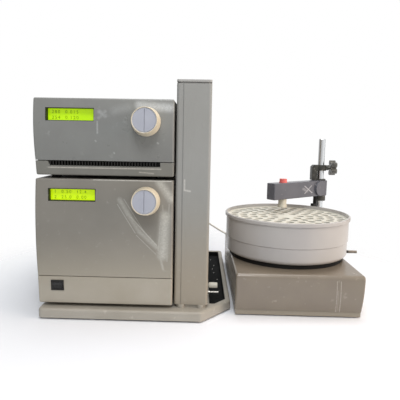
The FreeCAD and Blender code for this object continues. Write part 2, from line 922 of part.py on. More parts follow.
def build_front(module):
    """Crowned upper front of a module, hollow at the back."""
    body = new_body(f"{module.name}_front_panel")
    low = module.seam_height + d.panel_seam
    profile = [
        (d.panel_depth, low), (d.panel_depth, module.height),
        (module.recess_top, module.height, module.crown), (module.recess_seam, low)]
    pad(body, "crown", "YZ_Plane", 0.0, d.module_width, profile)
    back = d.panel_depth.value - TOUCH
    soften(body, "front_rounds", "Fillet", d.panel_round,
           lambda box: box.YMin < back and box.ZMax > module.height.value - TOUCH)
    wall = d.panel_wall
    hollow = rectangle(wall, low + wall, d.module_width - wall, module.height - wall)
    cut(body, "hollow", "XZ_Plane", d.panel_seat, d.panel_depth, hollow)
    left = module.display_left
    window = rectangle(left, module.display_low, left + module.display_width,
                       module.display_low + d.display_height)
    cut(body, "window", "XZ_Plane", -d.panel_depth, 2 * d.panel_depth, window)
    hole = d.dial_bore_radius + d.dial_hole_margin
    cut(body, "dial_hole", "XZ_Plane", -d.panel_depth, 2 * d.panel_depth,
        Circle(module.dial_x, module.dial_height, hole))
    place(body, 0.0, 0.0, module.bottom)


def build_strip(module, name, *openings):
    """Lower strip of a module's front, hollow at the back."""
    body = new_body(name)
    profile = [
        (d.panel_depth, 0.0), (d.panel_depth, module.seam_height),
        (module.recess_seam, module.seam_height), (module.recess_low, 0.0)]
    pad(body, "strip", "YZ_Plane", 0.0, d.module_width, profile)
    back = d.panel_depth.value - TOUCH
    soften(body, "front_rounds", "Fillet", d.panel_round,
           lambda box: box.YMin < back and box.ZMin < TOUCH)
    wall = d.panel_wall
    cut(body, "hollow", "XZ_Plane", d.panel_depth - wall, d.panel_depth,
        rectangle(wall, wall, d.module_width - wall, module.seam_height - wall))
    for number, outline in enumerate(openings):
        cut(body, f"opening_{number}", "XZ_Plane", -d.panel_depth, 2 * d.panel_depth,
            outline)
    place(body, 0.0, 0.0, module.bottom)


def build_display(module):
    left = module.display_left
    low = module.display_low
    right = left + module.display_width
    high = low + d.display_height
    frame = d.display_frame
    flange = d.display_flange
    bezel = new_body(f"{module.name}_display_bezel")
    opening = rectangle(left + frame, low + frame, right - frame, high - frame)
    pad(bezel, "rim", "XZ_Plane", d.display_front, d.panel_seat - d.display_front,
        rectangle(left, low, right, high), opening)
    pad(bezel, "flange", "XZ_Plane", d.panel_seat, flange,
        rectangle(left - flange, low - flange, right + flange, high + flange), opening)
    place(bezel, 0.0, 0.0, module.bottom)

    screen = new_body(f"{module.name}_display")
    pad(screen, "glass", "XZ_Plane", d.panel_seat + flange, d.display_depth,
        rectangle(left, low, right, high))
    place(screen, 0.0, 0.0, module.bottom)


def place_on_dial(body, module):
    """Stands a piece on the dial's axis, which points out and a little upwards."""
    place(body, module.dial_x, module.dial_inset, module.bottom + module.dial_height,
          (1, 0, 0), 90.0 - module.dial_tilt)


def build_dial(module):
    bore = d.dial_bore_radius
    front = d.dial_reach
    base = d.dial_base_gap
    lip = d.dial_lip
    ring = new_body(f"{module.name}_dial_ring")
    turn(ring, "ring", [
        (bore, base), (d.dial_base_radius, base), (d.dial_front_radius, front - lip, lip),
        (d.dial_front_radius - lip, front), (bore + lip / 2, front), (bore, front - lip / 2)])
    place_on_dial(ring, module)

    core = new_body(f"{module.name}_dial_core")
    radius = bore - d.dial_running_gap
    flange = d.dial_flange_radius
    seat = -(d.panel_seat - module.dial_inset + flange * sine(module.dial_tilt)
             + d.dial_seat_gap) / cosine(module.dial_tilt)
    back = seat - d.dial_flange
    well = radius - d.button_well_wall
    rim = front - d.button_well_drop - lip
    turn(core, "core", [
        (0.0, back), (flange, back), (flange, seat), (radius, seat), (radius, rim),
        (well, rim), (well, d.dial_core_front), (0.0, d.dial_core_front)])
    stem = d.button_stem_radius + d.dial_running_gap
    depth = d.button_stem_length + d.button_travel
    cut(core, "button_guides", "XY_Plane", d.dial_core_front - depth, depth,
        Circle(-d.button_stem_x, 0.0, stem), Circle(d.button_stem_x, 0.0, stem))
    place_on_dial(core, module)

    radius = well - d.button_gap
    slit = d.button_slit / 2
    reach = root_of(radius * radius - slit * slit)
    low = d.dial_core_front + d.button_rise
    for word, side in (("esc", -1.0), ("ok", 1.0)):
        button = new_body(f"{module.name}_{word}_button")
        half_disc = [
            (side * slit, -reach, radius), (side * radius, 0.0, radius),
            (side * slit, reach)] if side > 0 else [
            (side * slit, reach, radius), (side * radius, 0.0, radius),
            (side * slit, -reach)]
        pad(button, "cap", "XY_Plane", low, d.button_thickness, half_disc)
        foot = d.dial_core_front - d.button_stem_length + d.button_travel
        pad(button, "stem", "XY_Plane", foot, low - foot,
            Circle(side * d.button_stem_x, 0.0, d.button_stem_radius))
        place_on_dial(button, module)


def build_rear_panel(module):
    body = new_body(f"{module.name}_rear_panel")
    wall = d.housing_wall
    right = d.inlet_x + d.inlet_width
    inlet = rectangle(d.inlet_x, d.inlet_z, right, d.inlet_z + d.inlet_height)
    pad(body, "sheet", "XZ_Plane", d.housing_back - d.rear_wall, d.rear_wall,
        rectangle(wall, wall, d.module_width - wall, module.height - wall), inlet)
    slot = rectangle(d.grille_x, d.grille_z, d.grille_x + d.grille_length,
                     d.grille_z + d.grille_slot)
    vent = cut(body, "vent", "XZ_Plane", d.housing_back - 2 * d.rear_wall,
               3 * d.rear_wall, slot)
    copies_along(body, "vents", vent, "Z_Axis", d.grille_pitch, d.grille_slots)
    place(body, 0.0, 0.0, module.bottom)


def build_modules():
    for module in (PUMP, MONITOR):
        build_housing(module)
        build_front(module)
        build_display(module)
        build_dial(module)
        build_rear_panel(module)
    lip = d.switch_lip
    opening = rectangle(d.switch_left + lip, d.switch_low + lip,
                        d.switch_left + d.switch_width - lip,
                        d.switch_low + d.switch_height - lip)
    build_strip(PUMP, "pump_lower_panel", opening)
    top = d.monitor_seam_height
    low = top - d.vent_height
    over = top + d.vent_over
    notch = [(d.vent_left + d.vent_slant, low), (d.vent_right, low),
             (d.vent_right, over), (d.vent_left, over), (d.vent_left, top)]
    build_strip(MONITOR, "monitor_lower_panel", notch)


def arc_tangent(size):
    return Size(math.degrees(math.atan(size.value)), f"atan({size.text}) / 1 deg")


def build_power_switch():
    """Rocker switch in the pump's lower strip, square to the strip's leaning face."""
    slope = (PUMP.recess_low - PUMP.recess_seam) / PUMP.seam_height
    middle_x = d.switch_left + d.switch_width / 2
    middle_z = d.switch_low + d.switch_height / 2
    middle_y = PUMP.recess_low - slope * middle_z
    lean = arc_tangent(slope)
    half_x = d.switch_width / 2
    half_y = d.switch_height / 2
    fit_x = half_x - d.switch_lip - d.switch_fit
    fit_y = half_y - d.switch_lip - d.switch_fit - d.switch_depth * slope
    in_x = fit_x - d.switch_frame
    in_y = fit_y - d.switch_frame
    opening = rectangle(-in_x, -in_y, in_x, in_y)
    frame = new_body("power_switch_frame")
    pad(frame, "lip", "XY_Plane", 0.0, d.switch_lip_thickness,
        rectangle(-half_x, -half_y, half_x, half_y), opening)
    pad(frame, "box", "XY_Plane", -d.switch_depth, d.switch_depth,
        rectangle(-fit_x, -fit_y, fit_x, fit_y), opening)
    place(frame, middle_x, middle_y, PUMP.bottom + middle_z, (1, 0, 0), 90.0 + lean)

    rocker = new_body("power_rocker")
    radius = in_y - d.rocker_gap
    rise = d.rocker_rise
    reach = root_of(radius * radius - rise * rise)
    wide = in_x - d.rocker_gap
    profile = [(-reach, rise, radius), (0.0, -radius, radius), (reach, rise),
               (0.0, d.rocker_dip)]
    pad(rocker, "rocker", "YZ_Plane", -wide, 2 * wide, profile)
    place(rocker, middle_x, middle_y, PUMP.bottom + middle_z, (1, 0, 0),
          90.0 + lean - d.rocker_tilt)


def build_vent_grille():
    """Black insert with upright fins behind the slot under the monitor's seam."""
    body = new_body("vent_grille")
    top = d.monitor_seam_height
    low = top - d.vent_height
    left = d.vent_left + d.vent_slant
    front = d.monitor_recess_seam + d.vent_set_back
    fin = rectangle(left, low, left + d.fin_width, top)
    back = front + d.vent_depth - d.vent_back
    pad(body, "backing", "XZ_Plane", back, d.vent_back,
        rectangle(left, low, d.vent_right, top))
    fins = pad(body, "fin", "XZ_Plane", front, back - front, fin)
    count = math.floor((d.vent_right.value - left.value) / d.fin_pitch.value)
    copies_along(body, "fins", fins, "X_Axis", d.fin_pitch, Size.of(count))
    place(body, 0.0, 0.0, MONITOR.bottom)


def build_mains_inlets():
    """One appliance inlet in the back of each module and of the collector."""
    spots = (
        ("pump_inlet", d.inlet_x, d.housing_back, PUMP.bottom + d.inlet_z),
        ("monitor_inlet", d.inlet_x, d.housing_back, MONITOR.bottom + d.inlet_z),
        ("collector_inlet", d.collector_left + d.inlet_x,
         d.collector_front + d.collector_depth, d.collector_seam + d.inlet_z),
    )
    wide = d.inlet_width
    high = d.inlet_height
    lip = d.inlet_flange
    wall = d.inlet_wall
    bodies = []
    for name, x, y, z in spots:
        body = doc.addObject("PartDesign::Body", name)
        pad(body, "shell", "XZ_Plane", -d.inlet_depth, d.inlet_depth,
            rectangle(0.0, 0.0, wide, high))
        pad(body, "flange", "XZ_Plane", 0.0, d.inlet_flange_thickness,
            rectangle(-lip, -lip, wide + lip, high + lip))
        cut(body, "mouth", "XZ_Plane", wall - d.inlet_depth, 2 * d.inlet_depth,
            rectangle(wall, wall, wide - wall, high - wall))
        blade = d.inlet_blade
        middle = wide / 2
        pins = [rectangle(middle + step * d.inlet_pin_step - blade, high / 2 - 2 * blade,
                          middle + step * d.inlet_pin_step + blade, high / 2 + 2 * blade)
                for step in (-1.0, 0.0, 1.0)]
        pad(body, "pins", "XZ_Plane", wall - d.inlet_depth, d.inlet_pin_length, *pins)
        place(body, x, y, z)
        bodies.append(body)
    group = doc.addObject("Part::Compound", "mains_inlets")
    group.Label = "mains_inlets"
    group.Links = bodies
    PARTS.append(group)


def head_centres():
    return [(d.head_y + across * d.head_pitch_y, d.head_low_z + up * d.head_pitch_z)
            for across in (0.0, 1.0) for up in (0.0, 1.0)]


def build_pump_heads():
    """Four pump heads on the left wall, with an inlet and an outlet valve each."""
    half = d.head_half
    heads = new_body("pump_heads")
    blocks = [rounded(y - half, z - half, y + half, z + half, d.head_round)
              for y, z in head_centres()]
    pad(heads, "blocks", "YZ_Plane", -d.head_length, d.head_length, *blocks)
    caps = [Circle(y, z, d.head_cap_radius) for y, z in head_centres()]
    pad(heads, "caps", "YZ_Plane", -d.head_length - d.head_cap_length,
        d.head_cap_length, *caps)
    place(heads, 0.0, 0.0, PUMP.bottom)

    valves = new_body("check_valves")
    spots = [(y, z + up * half + (up - 1.0) * d.valve_length / 2)
             for y, z in head_centres() for up in (-1.0, 1.0)]
    for number, (y, z) in enumerate(spots):
        pad(valves, f"valve_{number}", "XY_Plane", z, d.valve_length,
            Circle(-d.valve_x, y, d.valve_radius))
    place(valves, 0.0, 0.0, PUMP.bottom)


def build_inner_units():
    """Sealed units inside the two housings."""
    drives = new_body("pump_drive_units")
    low_y = d.head_y - d.head_half - d.drive_margin
    high_y = d.head_y + d.head_pitch_y + d.head_half + d.drive_margin
    left = d.housing_wall
    boxes = []
    motors = []
    for up in (0.0, 1.0):
        z = d.head_low_z + up * d.head_pitch_z
        half = d.head_half + d.drive_margin
        boxes.append(rectangle(low_y, z - half, high_y, z + half))
        motors.append(Circle((low_y + high_y) / 2, z, d.motor_radius))
    pad(drives, "gear_boxes", "YZ_Plane", left, d.drive_length, *boxes)
    pad(drives, "motors", "YZ_Plane", left + d.drive_length, d.motor_length, *motors)
    place(drives, 0.0, 0.0, PUMP.bottom)

    floor = d.housing_wall
    right = d.module_width - d.housing_wall - d.board_gap
    for module in (PUMP, MONITOR):
        board = new_body(f"{module.name}_board")
        pad(board, "board", "YZ_Plane", right, d.board_thickness,
            rectangle(d.board_front, floor, d.board_back, module.height - d.board_margin))
        place(board, 0.0, 0.0, module.bottom)

    lamp = new_body("lamp_unit")
    pad(lamp, "case", "XY_Plane", floor, d.lamp_height,
        rounded(d.lamp_left, d.lamp_front, d.lamp_left + d.lamp_length,
                d.lamp_front + d.lamp_width, d.head_round))
    place(lamp, 0.0, 0.0, MONITOR.bottom)


def build_module_feet():
    """Four feet under each module."""
    body = new_body("module_feet")
    inset = d.module_foot_inset_x
    spots = [(x, y) for x in (inset, d.module_width - inset)
             for y in (d.module_foot_front, d.module_foot_back)]
    rings = [Circle(x, y, d.module_foot_radius) for x, y in spots]
    pad(body, "pump_feet", "XY_Plane", d.platform_top, d.pump_bottom - d.platform_top,
        *rings)
    pad(body, "monitor_feet", "XY_Plane", d.pump_bottom + d.pump_height, d.module_gap,
        *rings)
    place(body, 0.0, 0.0, 0.0)


# Base of the fraction collector


def sleeve_distance():
    return d.bowl_band_radius + d.sleeve_gap + d.sleeve_radius


def sleeve_centre():
    reach = sleeve_distance()
    return (d.bowl_x + reach * cosine(d.sleeve_bearing),
            d.bowl_y + reach * sine(d.sleeve_bearing))


def build_collector():
    left = d.collector_left
    right = left + d.collector_width
    front = d.collector_front
    back = front + d.collector_depth
    seam = d.collector_seam
    top = d.collector_top
    edge = d.collector_edge
    wall = d.collector_wall
    lean = d.collector_recess_low
    height = top - edge - seam
    crown = (height * height + lean * lean) / (2.0 * lean)

    cover = new_body("collector_cover")
    pad(cover, "shell", "YZ_Plane", left, d.collector_width, [
        (front + lean, seam), (back, seam), (back, top - edge, edge),
        (back - edge, top), (front + edge, top, edge), (front, top - edge, crown)])
    soften(cover, "side_rounds", "Fillet", d.collector_side_round,
           lambda box: box.XLength < TOUCH and box.ZMax > seam.value + wall.value)
    cut(cover, "hollow", "YZ_Plane", left + wall, d.collector_width - 2 * wall, [
        (front + lean + 2 * wall, seam), (back - wall, seam), (back - wall, top - wall),
        (front + edge + wall, top - wall), (front + 2 * wall, top - edge)])
    sleeve_x, sleeve_y = sleeve_centre()
    cut(cover, "holes", "XY_Plane", top - 2 * wall, 3 * wall,
        Circle(d.bowl_x, d.bowl_y, d.bearing_radius),
        Circle(sleeve_x, sleeve_y, d.drive_hole_radius),
        Circle(d.post_x, d.post_y, d.post_radius))
    inlet_left = left + d.inlet_x
    inlet_low = seam + d.inlet_z
    cut(cover, "inlet_hole", "XZ_Plane", back - 2 * wall, 3 * wall,
        rectangle(inlet_left, inlet_low, inlet_left + d.inlet_width,
                  inlet_low + d.inlet_height))
    place(cover, 0.0, 0.0, 0.0)

    pan = new_body("collector_chassis")
    inset = d.chassis_inset
    low_x = left + inset
    low_y = front + lean + inset
    high_x = right - inset
    high_y = back - inset
    rim = d.chassis_wall
    pad(pan, "pan", "XY_Plane", d.collector_floor, seam - d.collector_floor,
        rectangle(low_x, low_y, high_x, high_y))
    cut(pan, "inside", "XY_Plane", d.collector_floor + rim, seam - d.collector_floor,
        rectangle(low_x + rim, low_y + rim, high_x - rim, high_y - rim))
    place(pan, 0.0, 0.0, 0.0)


def build_gutter():
    """Ring that catches spilled liquid under the bowl, with its outlet to the right."""
    body = new_body("drain_ring")
    low = d.collector_top
    high = d.bowl_bottom - d.gutter_gap
    outer = d.gutter_outer
    inner = d.gutter_inner
    wall = d.gutter_wall
    floor = low + d.gutter_floor
    turn(body, "ring", [
        (inner, low), (outer, low), (outer, high), (outer - wall, high),
        (outer - wall, floor), (inner + wall, floor), (inner + wall, high), (inner, high)])
    axis = floor + d.spout_height
    start = outer - wall / 2
    pad(body, "spout_root", "YZ_Plane", start, d.spout_root - start,
        Circle(d.spout_y, axis, d.spout_root_radius))
    pad(body, "spout", "YZ_Plane", d.spout_root, d.spout_reach - d.spout_root,
        Circle(d.spout_y, axis, d.spout_radius))
    bore_start = outer - 2 * wall
    cut(body, "spout_bore", "YZ_Plane", bore_start, d.spout_reach,
        Circle(d.spout_y, axis, d.spout_bore))
    place(body, d.bowl_x, d.bowl_y, 0.0)


# Bowl with everything that turns with it


def build_bowl_bearing():
    body = new_body("spindle_bearing")
    top = d.collector_top + d.bearing_flange
    bore = d.spindle_radius + d.running_gap
    turn(body, "bearing", [
        (bore, top - d.bearing_length), (d.bearing_radius, top - d.bearing_length),
        (d.bearing_radius, d.collector_top), (d.bearing_flange_radius, d.collector_top),
        (d.bearing_flange_radius, top), (bore, top)])
    place(body, d.bowl_x, d.bowl_y, 0.0)


def build_bowl():
    low = d.bowl_bottom
    floor = low + d.bowl_floor
    ledge = d.bowl_ledge
    band = d.bowl_band_radius
    wall = d.bowl_wall_radius
    rim = d.bowl_rim_radius
    spindle = d.spindle_radius
    foot_round = band - d.bowl_foot_radius
    inner = band - d.bowl_wall
    step = wall - band
    edge = (rim - wall) / 2
    inner_rim = rim - d.bowl_wall - edge / 2

    bowl = new_body("bowl")
    turn(bowl, "bowl_turned", [
        (spindle, low), (d.bowl_foot_radius, low, foot_round), (band, low + foot_round),
        (band, d.bowl_crease), (wall, d.bowl_crease + step), (wall, d.bowl_lip),
        (rim, d.bowl_lip + edge), (rim, d.bowl_top - edge), (rim - edge, d.bowl_top),
        (inner_rim, d.bowl_top), (inner_rim, ledge), (inner, ledge),
        (inner, floor + foot_round), (inner - foot_round, floor), (spindle, floor)])
    place(bowl, d.bowl_x, d.bowl_y, 0.0)

    axle = new_body("bowl_spindle")
    flange_low = d.collector_top + d.bearing_flange + d.bearing_gap
    turn(axle, "axle", [
        (0.0, d.spindle_low), (spindle, d.spindle_low), (spindle, flange_low),
        (d.spindle_flange_radius, flange_low), (d.spindle_flange_radius, low),
        (spindle, low), (spindle, low + d.spindle_nose), (0.0, low + d.spindle_nose)])
    place(axle, d.bowl_x, d.bowl_y, 0.0)

    support = new_body("tube_support")
    plate_radius = inner - foot_round - d.holder_gap
    plate_top = floor + d.support_thickness
    bore_top = low + d.spindle_nose + d.bearing_gap
    flange_low = ledge - d.column_flange
    turn(support, "support", [
        (spindle, floor), (plate_radius, floor), (plate_radius, plate_top),
        (d.column_radius, plate_top), (d.column_radius, flange_low),
        (d.column_flange_radius, flange_low), (d.column_flange_radius, ledge),
        (0.0, ledge), (0.0, bore_top), (spindle, bore_top)])
    place(support, d.bowl_x, d.bowl_y, 0.0)

    holder = new_body("tube_holder")
    top = ledge + d.holder_thickness
    edge_radius = inner_rim - d.holder_gap
    lip = edge_radius - d.holder_lip_width
    turn(holder, "disc", [
        (0.0, ledge), (edge_radius, ledge), (edge_radius, top + d.holder_lip_height),
        (lip, top + d.holder_lip_height), (lip, top), (0.0, top)])
    for number in range(int(d.tube_rings.value)):
        distance = d.ring_outer_radius - number * d.ring_pitch
        hole = cut(holder, f"tube_hole_{number}", "XY_Plane", ledge - d.holder_thickness,
                   3 * d.holder_thickness, Circle(distance, 0.0, d.tube_hole_radius))
        copies_round(holder, f"tube_ring_{number}", hole,
                     d.ring_outer_tubes - number * d.ring_fewer_tubes)
    place(holder, d.bowl_x, d.bowl_y, 0.0)


def build_bowl_drive():
    """Friction drive: a rubber sleeve on a motor shaft rolls on the bowl's band."""
    x, y = sleeve_centre()
    shaft_radius = d.drive_shaft_radius
    sleeve = new_body("drive_sleeve")
    turn(sleeve, "tyre", [
        (shaft_radius, d.sleeve_low), (d.sleeve_radius, d.sleeve_low),
        (d.sleeve_radius, d.sleeve_high), (shaft_radius, d.sleeve_high)])
    place(sleeve, x, y, 0.0)

    top = d.collector_top - d.collector_wall
    shaft = new_body("drive_shaft")
    shaft_low = top - d.drive_shaft_sunk
    shaft_top = d.sleeve_high + d.drive_shaft_over
    pad(shaft, "shaft", "XY_Plane", shaft_low, shaft_top - shaft_low,
        Circle(0.0, 0.0, shaft_radius))
    place(shaft, x, y, 0.0)

    motor = new_body("drive_motor")
    half = d.drive_motor_side / 2
    pad(motor, "case", "XY_Plane", top - d.drive_motor_height, d.drive_motor_height,
        rectangle(-half, -half, half, half))
    cut(motor, "shaft_hole", "XY_Plane", shaft_low - d.bearing_gap,
        d.drive_motor_height, Circle(0.0, 0.0, shaft_radius + d.running_gap))
    place(motor, x, y, 0.0)


# Post and what it carries


def build_post():
    body = new_body("post")
    low = d.collector_top - d.post_sunk
    radius = d.post_radius
    turn(body, "rod", [
        (0.0, low), (radius, low), (radius, d.post_top - d.post_bevel),
        (radius - d.post_bevel, d.post_top), (0.0, d.post_top)])
    place(body, d.post_x, d.post_y, 0.0)


def build_arm_carrier():
    """Clamp that slides on the post and carries the arm on its lower sleeve."""
    body = new_body("arm_carrier")
    bore = Circle(0.0, 0.0, d.post_radius + d.running_gap)
    seat = d.arm_top + d.arm_play
    top = d.clamp_top
    pad(body, "sleeve", "XY_Plane", d.carrier_low, seat - d.carrier_low,
        Circle(0.0, 0.0, d.carrier_sleeve_radius), bore)
    left = -d.clamp_block_left
    right = -d.clamp_block_right
    bevel = d.clamp_block_bevel
    block = [(left, seat), (right, seat)]
    ring_low = top - d.clamp_ring_height
    tooth = seat + d.clamp_tooth_start
    while tooth.value + d.clamp_tooth_width.value < ring_low.value:
        deep = right - d.clamp_tooth_depth
        tip = tooth + d.clamp_tooth_width
        block += [(right, tooth), (deep, tooth), (deep, tip), (right, tip)]
        tooth = tooth + d.clamp_tooth_pitch
    block += [(right, top), (left + bevel, top), (left, top - bevel)]
    pad(body, "block", "XZ_Plane", -d.clamp_block_half, 2 * d.clamp_block_half, block)
    ring = Circle(0.0, 0.0, d.clamp_ring_radius)
    pad(body, "shoulder", "XY_Plane", seat, d.clamp_shoulder, ring, bore)
    pad(body, "ring", "XY_Plane", ring_low, d.clamp_ring_height, ring, bore)
    axis = top - d.screw_drop
    start = d.post_radius + (d.clamp_ring_radius - d.post_radius) / 2
    pad(body, "barrel", "YZ_Plane", start, d.barrel_reach - start,
        Circle(0.0, axis, d.barrel_radius))
    cut(body, "screw_hole", "YZ_Plane", 0.0, 2 * d.barrel_reach,
        Circle(0.0, axis, d.screw_radius + d.running_gap))
    place(body, d.post_x, d.post_y, 0.0)

    collar = new_body("arm_collar")
    pad(collar, "collar", "XY_Plane", d.carrier_low,
        d.arm_low - d.arm_play - d.carrier_low,
        Circle(0.0, 0.0, d.carrier_collar_radius),
        Circle(0.0, 0.0, d.carrier_sleeve_radius))
    place(collar, d.post_x, d.post_y, 0.0)

    knob = new_body("clamp_knob")
    screw_start = d.post_radius + d.screw_tip_gap
    pad(knob, "screw", "YZ_Plane", screw_start, d.knob_start - screw_start,
        Circle(0.0, 0.0, d.screw_radius))
    pad(knob, "hub", "YZ_Plane", d.knob_start, d.knob_thickness,
        Circle(0.0, 0.0, d.knob_hub_radius))
    reach = d.knob_radius - d.knob_lobe_radius
    lobes = []
    for number in range(int(d.knob_lobes.value)):
        angle = Size.of(360.0) / d.knob_lobes * number
        lobes.append(Circle(reach * cosine(angle), reach * sine(angle),
                            d.knob_lobe_radius))
    pad(knob, "lobes", "YZ_Plane", d.knob_start, d.knob_thickness, *lobes)
    place(knob, d.post_x, d.post_y, axis)


def build_arm():
    """Arm over the bowl, with the drop nozzle, its red nut and the rim sensor."""
    half = d.arm_half_width
    hub = d.arm_hub_radius
    meet = root_of(hub * hub - half * half)
    low = d.arm_low
    height = d.arm_top - low
    arm = new_body("arm")
    pad(arm, "beam", "XY_Plane", low, height,
        [(meet, -half), (d.arm_length, -half), (d.arm_length, half),
         (meet, half, hub), (-hub, 0.0, hub)])
    soften(arm, "edges", "Fillet", d.arm_edge,
           lambda box: box.ZLength < TOUCH or near(box.XMin, d.arm_length))
    pad(arm, "boss", "XZ_Plane", half - d.arm_edge, d.arm_edge + d.arm_boss_height,
        Circle(d.arm_boss_distance, low + height / 2, d.arm_boss_radius))
    cut(arm, "hub_bore", "XY_Plane", low, height,
        Circle(0.0, 0.0, d.carrier_sleeve_radius + d.running_gap),
        Circle(d.nozzle_distance, 0.0, d.nozzle_stem_radius))
    place(arm, d.post_x, d.post_y, 0.0, (0, 0, 1), d.arm_bearing)

    nozzle_x = d.post_x + d.nozzle_distance * cosine(d.arm_bearing)
    nozzle_y = d.post_y + d.nozzle_distance * sine(d.arm_bearing)
    nozzle = new_body("drop_nozzle")
    band_top = d.nozzle_low + d.nozzle_band
    turn(nozzle, "nozzle", [
        (d.nozzle_bore, d.nozzle_low), (d.nozzle_radius, d.nozzle_low),
        (d.nozzle_radius, band_top), (d.nozzle_neck_radius, band_top),
        (d.nozzle_neck_radius, low), (d.nozzle_stem_radius, low),
        (d.nozzle_stem_radius, d.arm_top), (d.nozzle_bore, d.arm_top)])
    place(nozzle, nozzle_x, nozzle_y, 0.0)

    nut = new_body("tubing_nut")
    top = d.arm_top
    turn(nut, "nut", [
        (d.nozzle_bore, top), (d.nut_flange_radius, top),
        (d.nut_flange_radius, top + d.nut_flange), (d.nut_radius, top + d.nut_flange),
        (d.nut_radius, top + d.nut_height), (d.nozzle_bore, top + d.nut_height)])
    place(nut, nozzle_x, nozzle_y, 0.0)

    sensor = new_body("rim_sensor")
    side = d.sensor_side / 2
    start = d.sensor_distance
    end = start + d.sensor_depth
    pad(sensor, "stalk", "XY_Plane", d.sensor_low, low - d.sensor_low,
        rectangle(start, -side, end, side))
    pad(sensor, "foot", "XY_Plane", d.sensor_low, d.sensor_foot_height,
        rectangle(start, -side, end + d.sensor_foot_length, side))
    place(sensor, d.post_x, d.post_y, 0.0, (0, 0, 1), d.arm_bearing)


# Cable between the backs of the pump and the collector


def cable_corners():
    corners = []
    for number in range(len(CABLE_ROUTE)):
        values = [getattr(d, f"cable_{axis}_{number}_at").value for axis in "xyz"]
        corners.append(FreeCAD.Vector(*values))
    return corners


def build_cable():
    """Runs joined by arcs that touch them, swept with a round section."""
    corners = cable_corners()
    edges = []
    start = corners[0]
    length = 0.0
    for before, corner, after in zip(corners, corners[1:], corners[2:]):
        back = before - corner
        ahead = after - corner
        half_turn = (math.pi - back.getAngle(ahead)) / 2
        share = min(back.Length, ahead.Length) / 2 * (1 - ARC_SPARE)
        radius = share / math.tan(half_turn)
        back.normalize()
        ahead.normalize()
        first = corner + back * share
        last = corner + ahead * share
        centre = corner + (back + ahead).normalize() * (radius / math.cos(half_turn))
        middle = centre + (corner - centre).normalize() * radius
        edges.append(Part.LineSegment(start, first).toShape())
        edges.append(Part.Arc(first, middle, last).toShape())
        length += (first - start).Length + 2 * half_turn * radius
        print(f"cable arc radius {radius:.1f}")
        start = last
    edges.append(Part.LineSegment(start, corners[-1]).toShape())
    length += (corners[-1] - start).Length
    path = Part.Wire(edges)
    radius = d.cable_radius.value
    circle = Part.Circle(corners[0], corners[1] - corners[0], radius)
    section = Part.Wire([circle.toShape()])
    cable = doc.addObject("Part::Feature", "link_cable")
    cable.Label = "link_cable"
    cable.Shape = path.makePipeShell([section], True, True)
    place(cable, 0.0, 0.0, 0.0)
    PARTS.append(cable)
    expected = math.pi * radius ** 2 * length
    if abs(cable.Shape.Volume / expected - 1) > CABLE_TOLERANCE:
        raise ValueError("link_cable is not a full sweep")
    print(f"cable length {length:.1f}")

    plugs = new_body("link_plugs")
    half_x = d.plug_width / 2
    half_z = d.plug_height / 2
    pump_back = d.housing_back
    collector_back = d.collector_front + d.collector_depth
    end = len(CABLE_ROUTE) - 1
    for name, number, wall in (("pump_plug", 0, pump_back),
                               ("collector_plug", end, collector_back)):
        x = getattr(d, f"cable_x_{number}_at")
        z = getattr(d, f"cable_z_{number}_at")
        pad(plugs, name, "XZ_Plane", wall, d.plug_length,
            rectangle(x - half_x, z - half_z, x + half_x, z + half_z))
    place(plugs, 0.0, 0.0, 0.0)


def check_and_write():
    """Every sub-part has to be whole before the files are written."""
    doc.recompute()
    for item in doc.Objects:
        if "Invalid" in item.State or "Error" in item.State:
            raise ValueError(f"{item.Name} did not build")
        if item.TypeId == "PartDesign::Pocket":
            if item.Shape.Volume >= item.BaseFeature.Shape.Volume:
                raise ValueError(f"{item.Name} took nothing away")
    for item in PARTS:
        if item.Shape.isNull() or not item.Shape.isValid():
            raise ValueError(f"{item.Label} has no valid shape")
    os.makedirs("parts", exist_ok=True)
    for item in PARTS:
        item.Shape.exportStep(f"parts/{item.Label}.step")
    print(f"{len(PARTS)} sub-parts written")


BUILDERS = (
    build_platform, build_drip_tray, build_bench_feet, build_tower_base, build_tower,
    build_side_fittings, build_modules, build_power_switch, build_vent_grille,
    build_mains_inlets, build_pump_heads, build_inner_units, build_module_feet,
    build_collector, build_gutter, build_bowl_bearing, build_bowl, build_bowl_drive,
    build_post, build_arm_carrier, build_arm, build_cable,
)
for build in BUILDERS:
    build()
check_and_write()
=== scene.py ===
"""Dresses the chromatography system: finishes, small modelled pieces, light and camera."""

import logging
import math
from dataclasses import dataclass
from enum import Enum
from typing import ClassVar

import bpy
from mathutils import Matrix, Vector

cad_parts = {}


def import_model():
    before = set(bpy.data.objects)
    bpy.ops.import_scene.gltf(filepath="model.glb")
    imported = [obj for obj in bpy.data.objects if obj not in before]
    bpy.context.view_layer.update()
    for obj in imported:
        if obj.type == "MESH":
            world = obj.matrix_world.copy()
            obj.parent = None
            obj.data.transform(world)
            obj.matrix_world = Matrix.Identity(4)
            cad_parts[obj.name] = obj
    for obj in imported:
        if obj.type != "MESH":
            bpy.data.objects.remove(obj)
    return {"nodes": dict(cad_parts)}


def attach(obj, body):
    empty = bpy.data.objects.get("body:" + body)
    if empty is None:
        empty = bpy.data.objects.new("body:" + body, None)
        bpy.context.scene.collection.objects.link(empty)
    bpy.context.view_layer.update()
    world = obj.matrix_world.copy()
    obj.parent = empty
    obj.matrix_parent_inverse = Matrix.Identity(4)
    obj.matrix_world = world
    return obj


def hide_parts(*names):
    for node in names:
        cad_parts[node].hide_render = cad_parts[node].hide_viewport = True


LOG = logging.getLogger("chromatography_system")
MM = 0.001
# Index of refraction of paints and plastics.
PLASTIC_IOR = 1.5
# Size of the grit that breaks up a mark, in millimetres.
GRIT_MM = 3.0
# How much rougher a surface is where a scuff or a painted highlight fully covers it.
SCUFF_AND_HIGHLIGHT_ROUGHNESS = 0.25
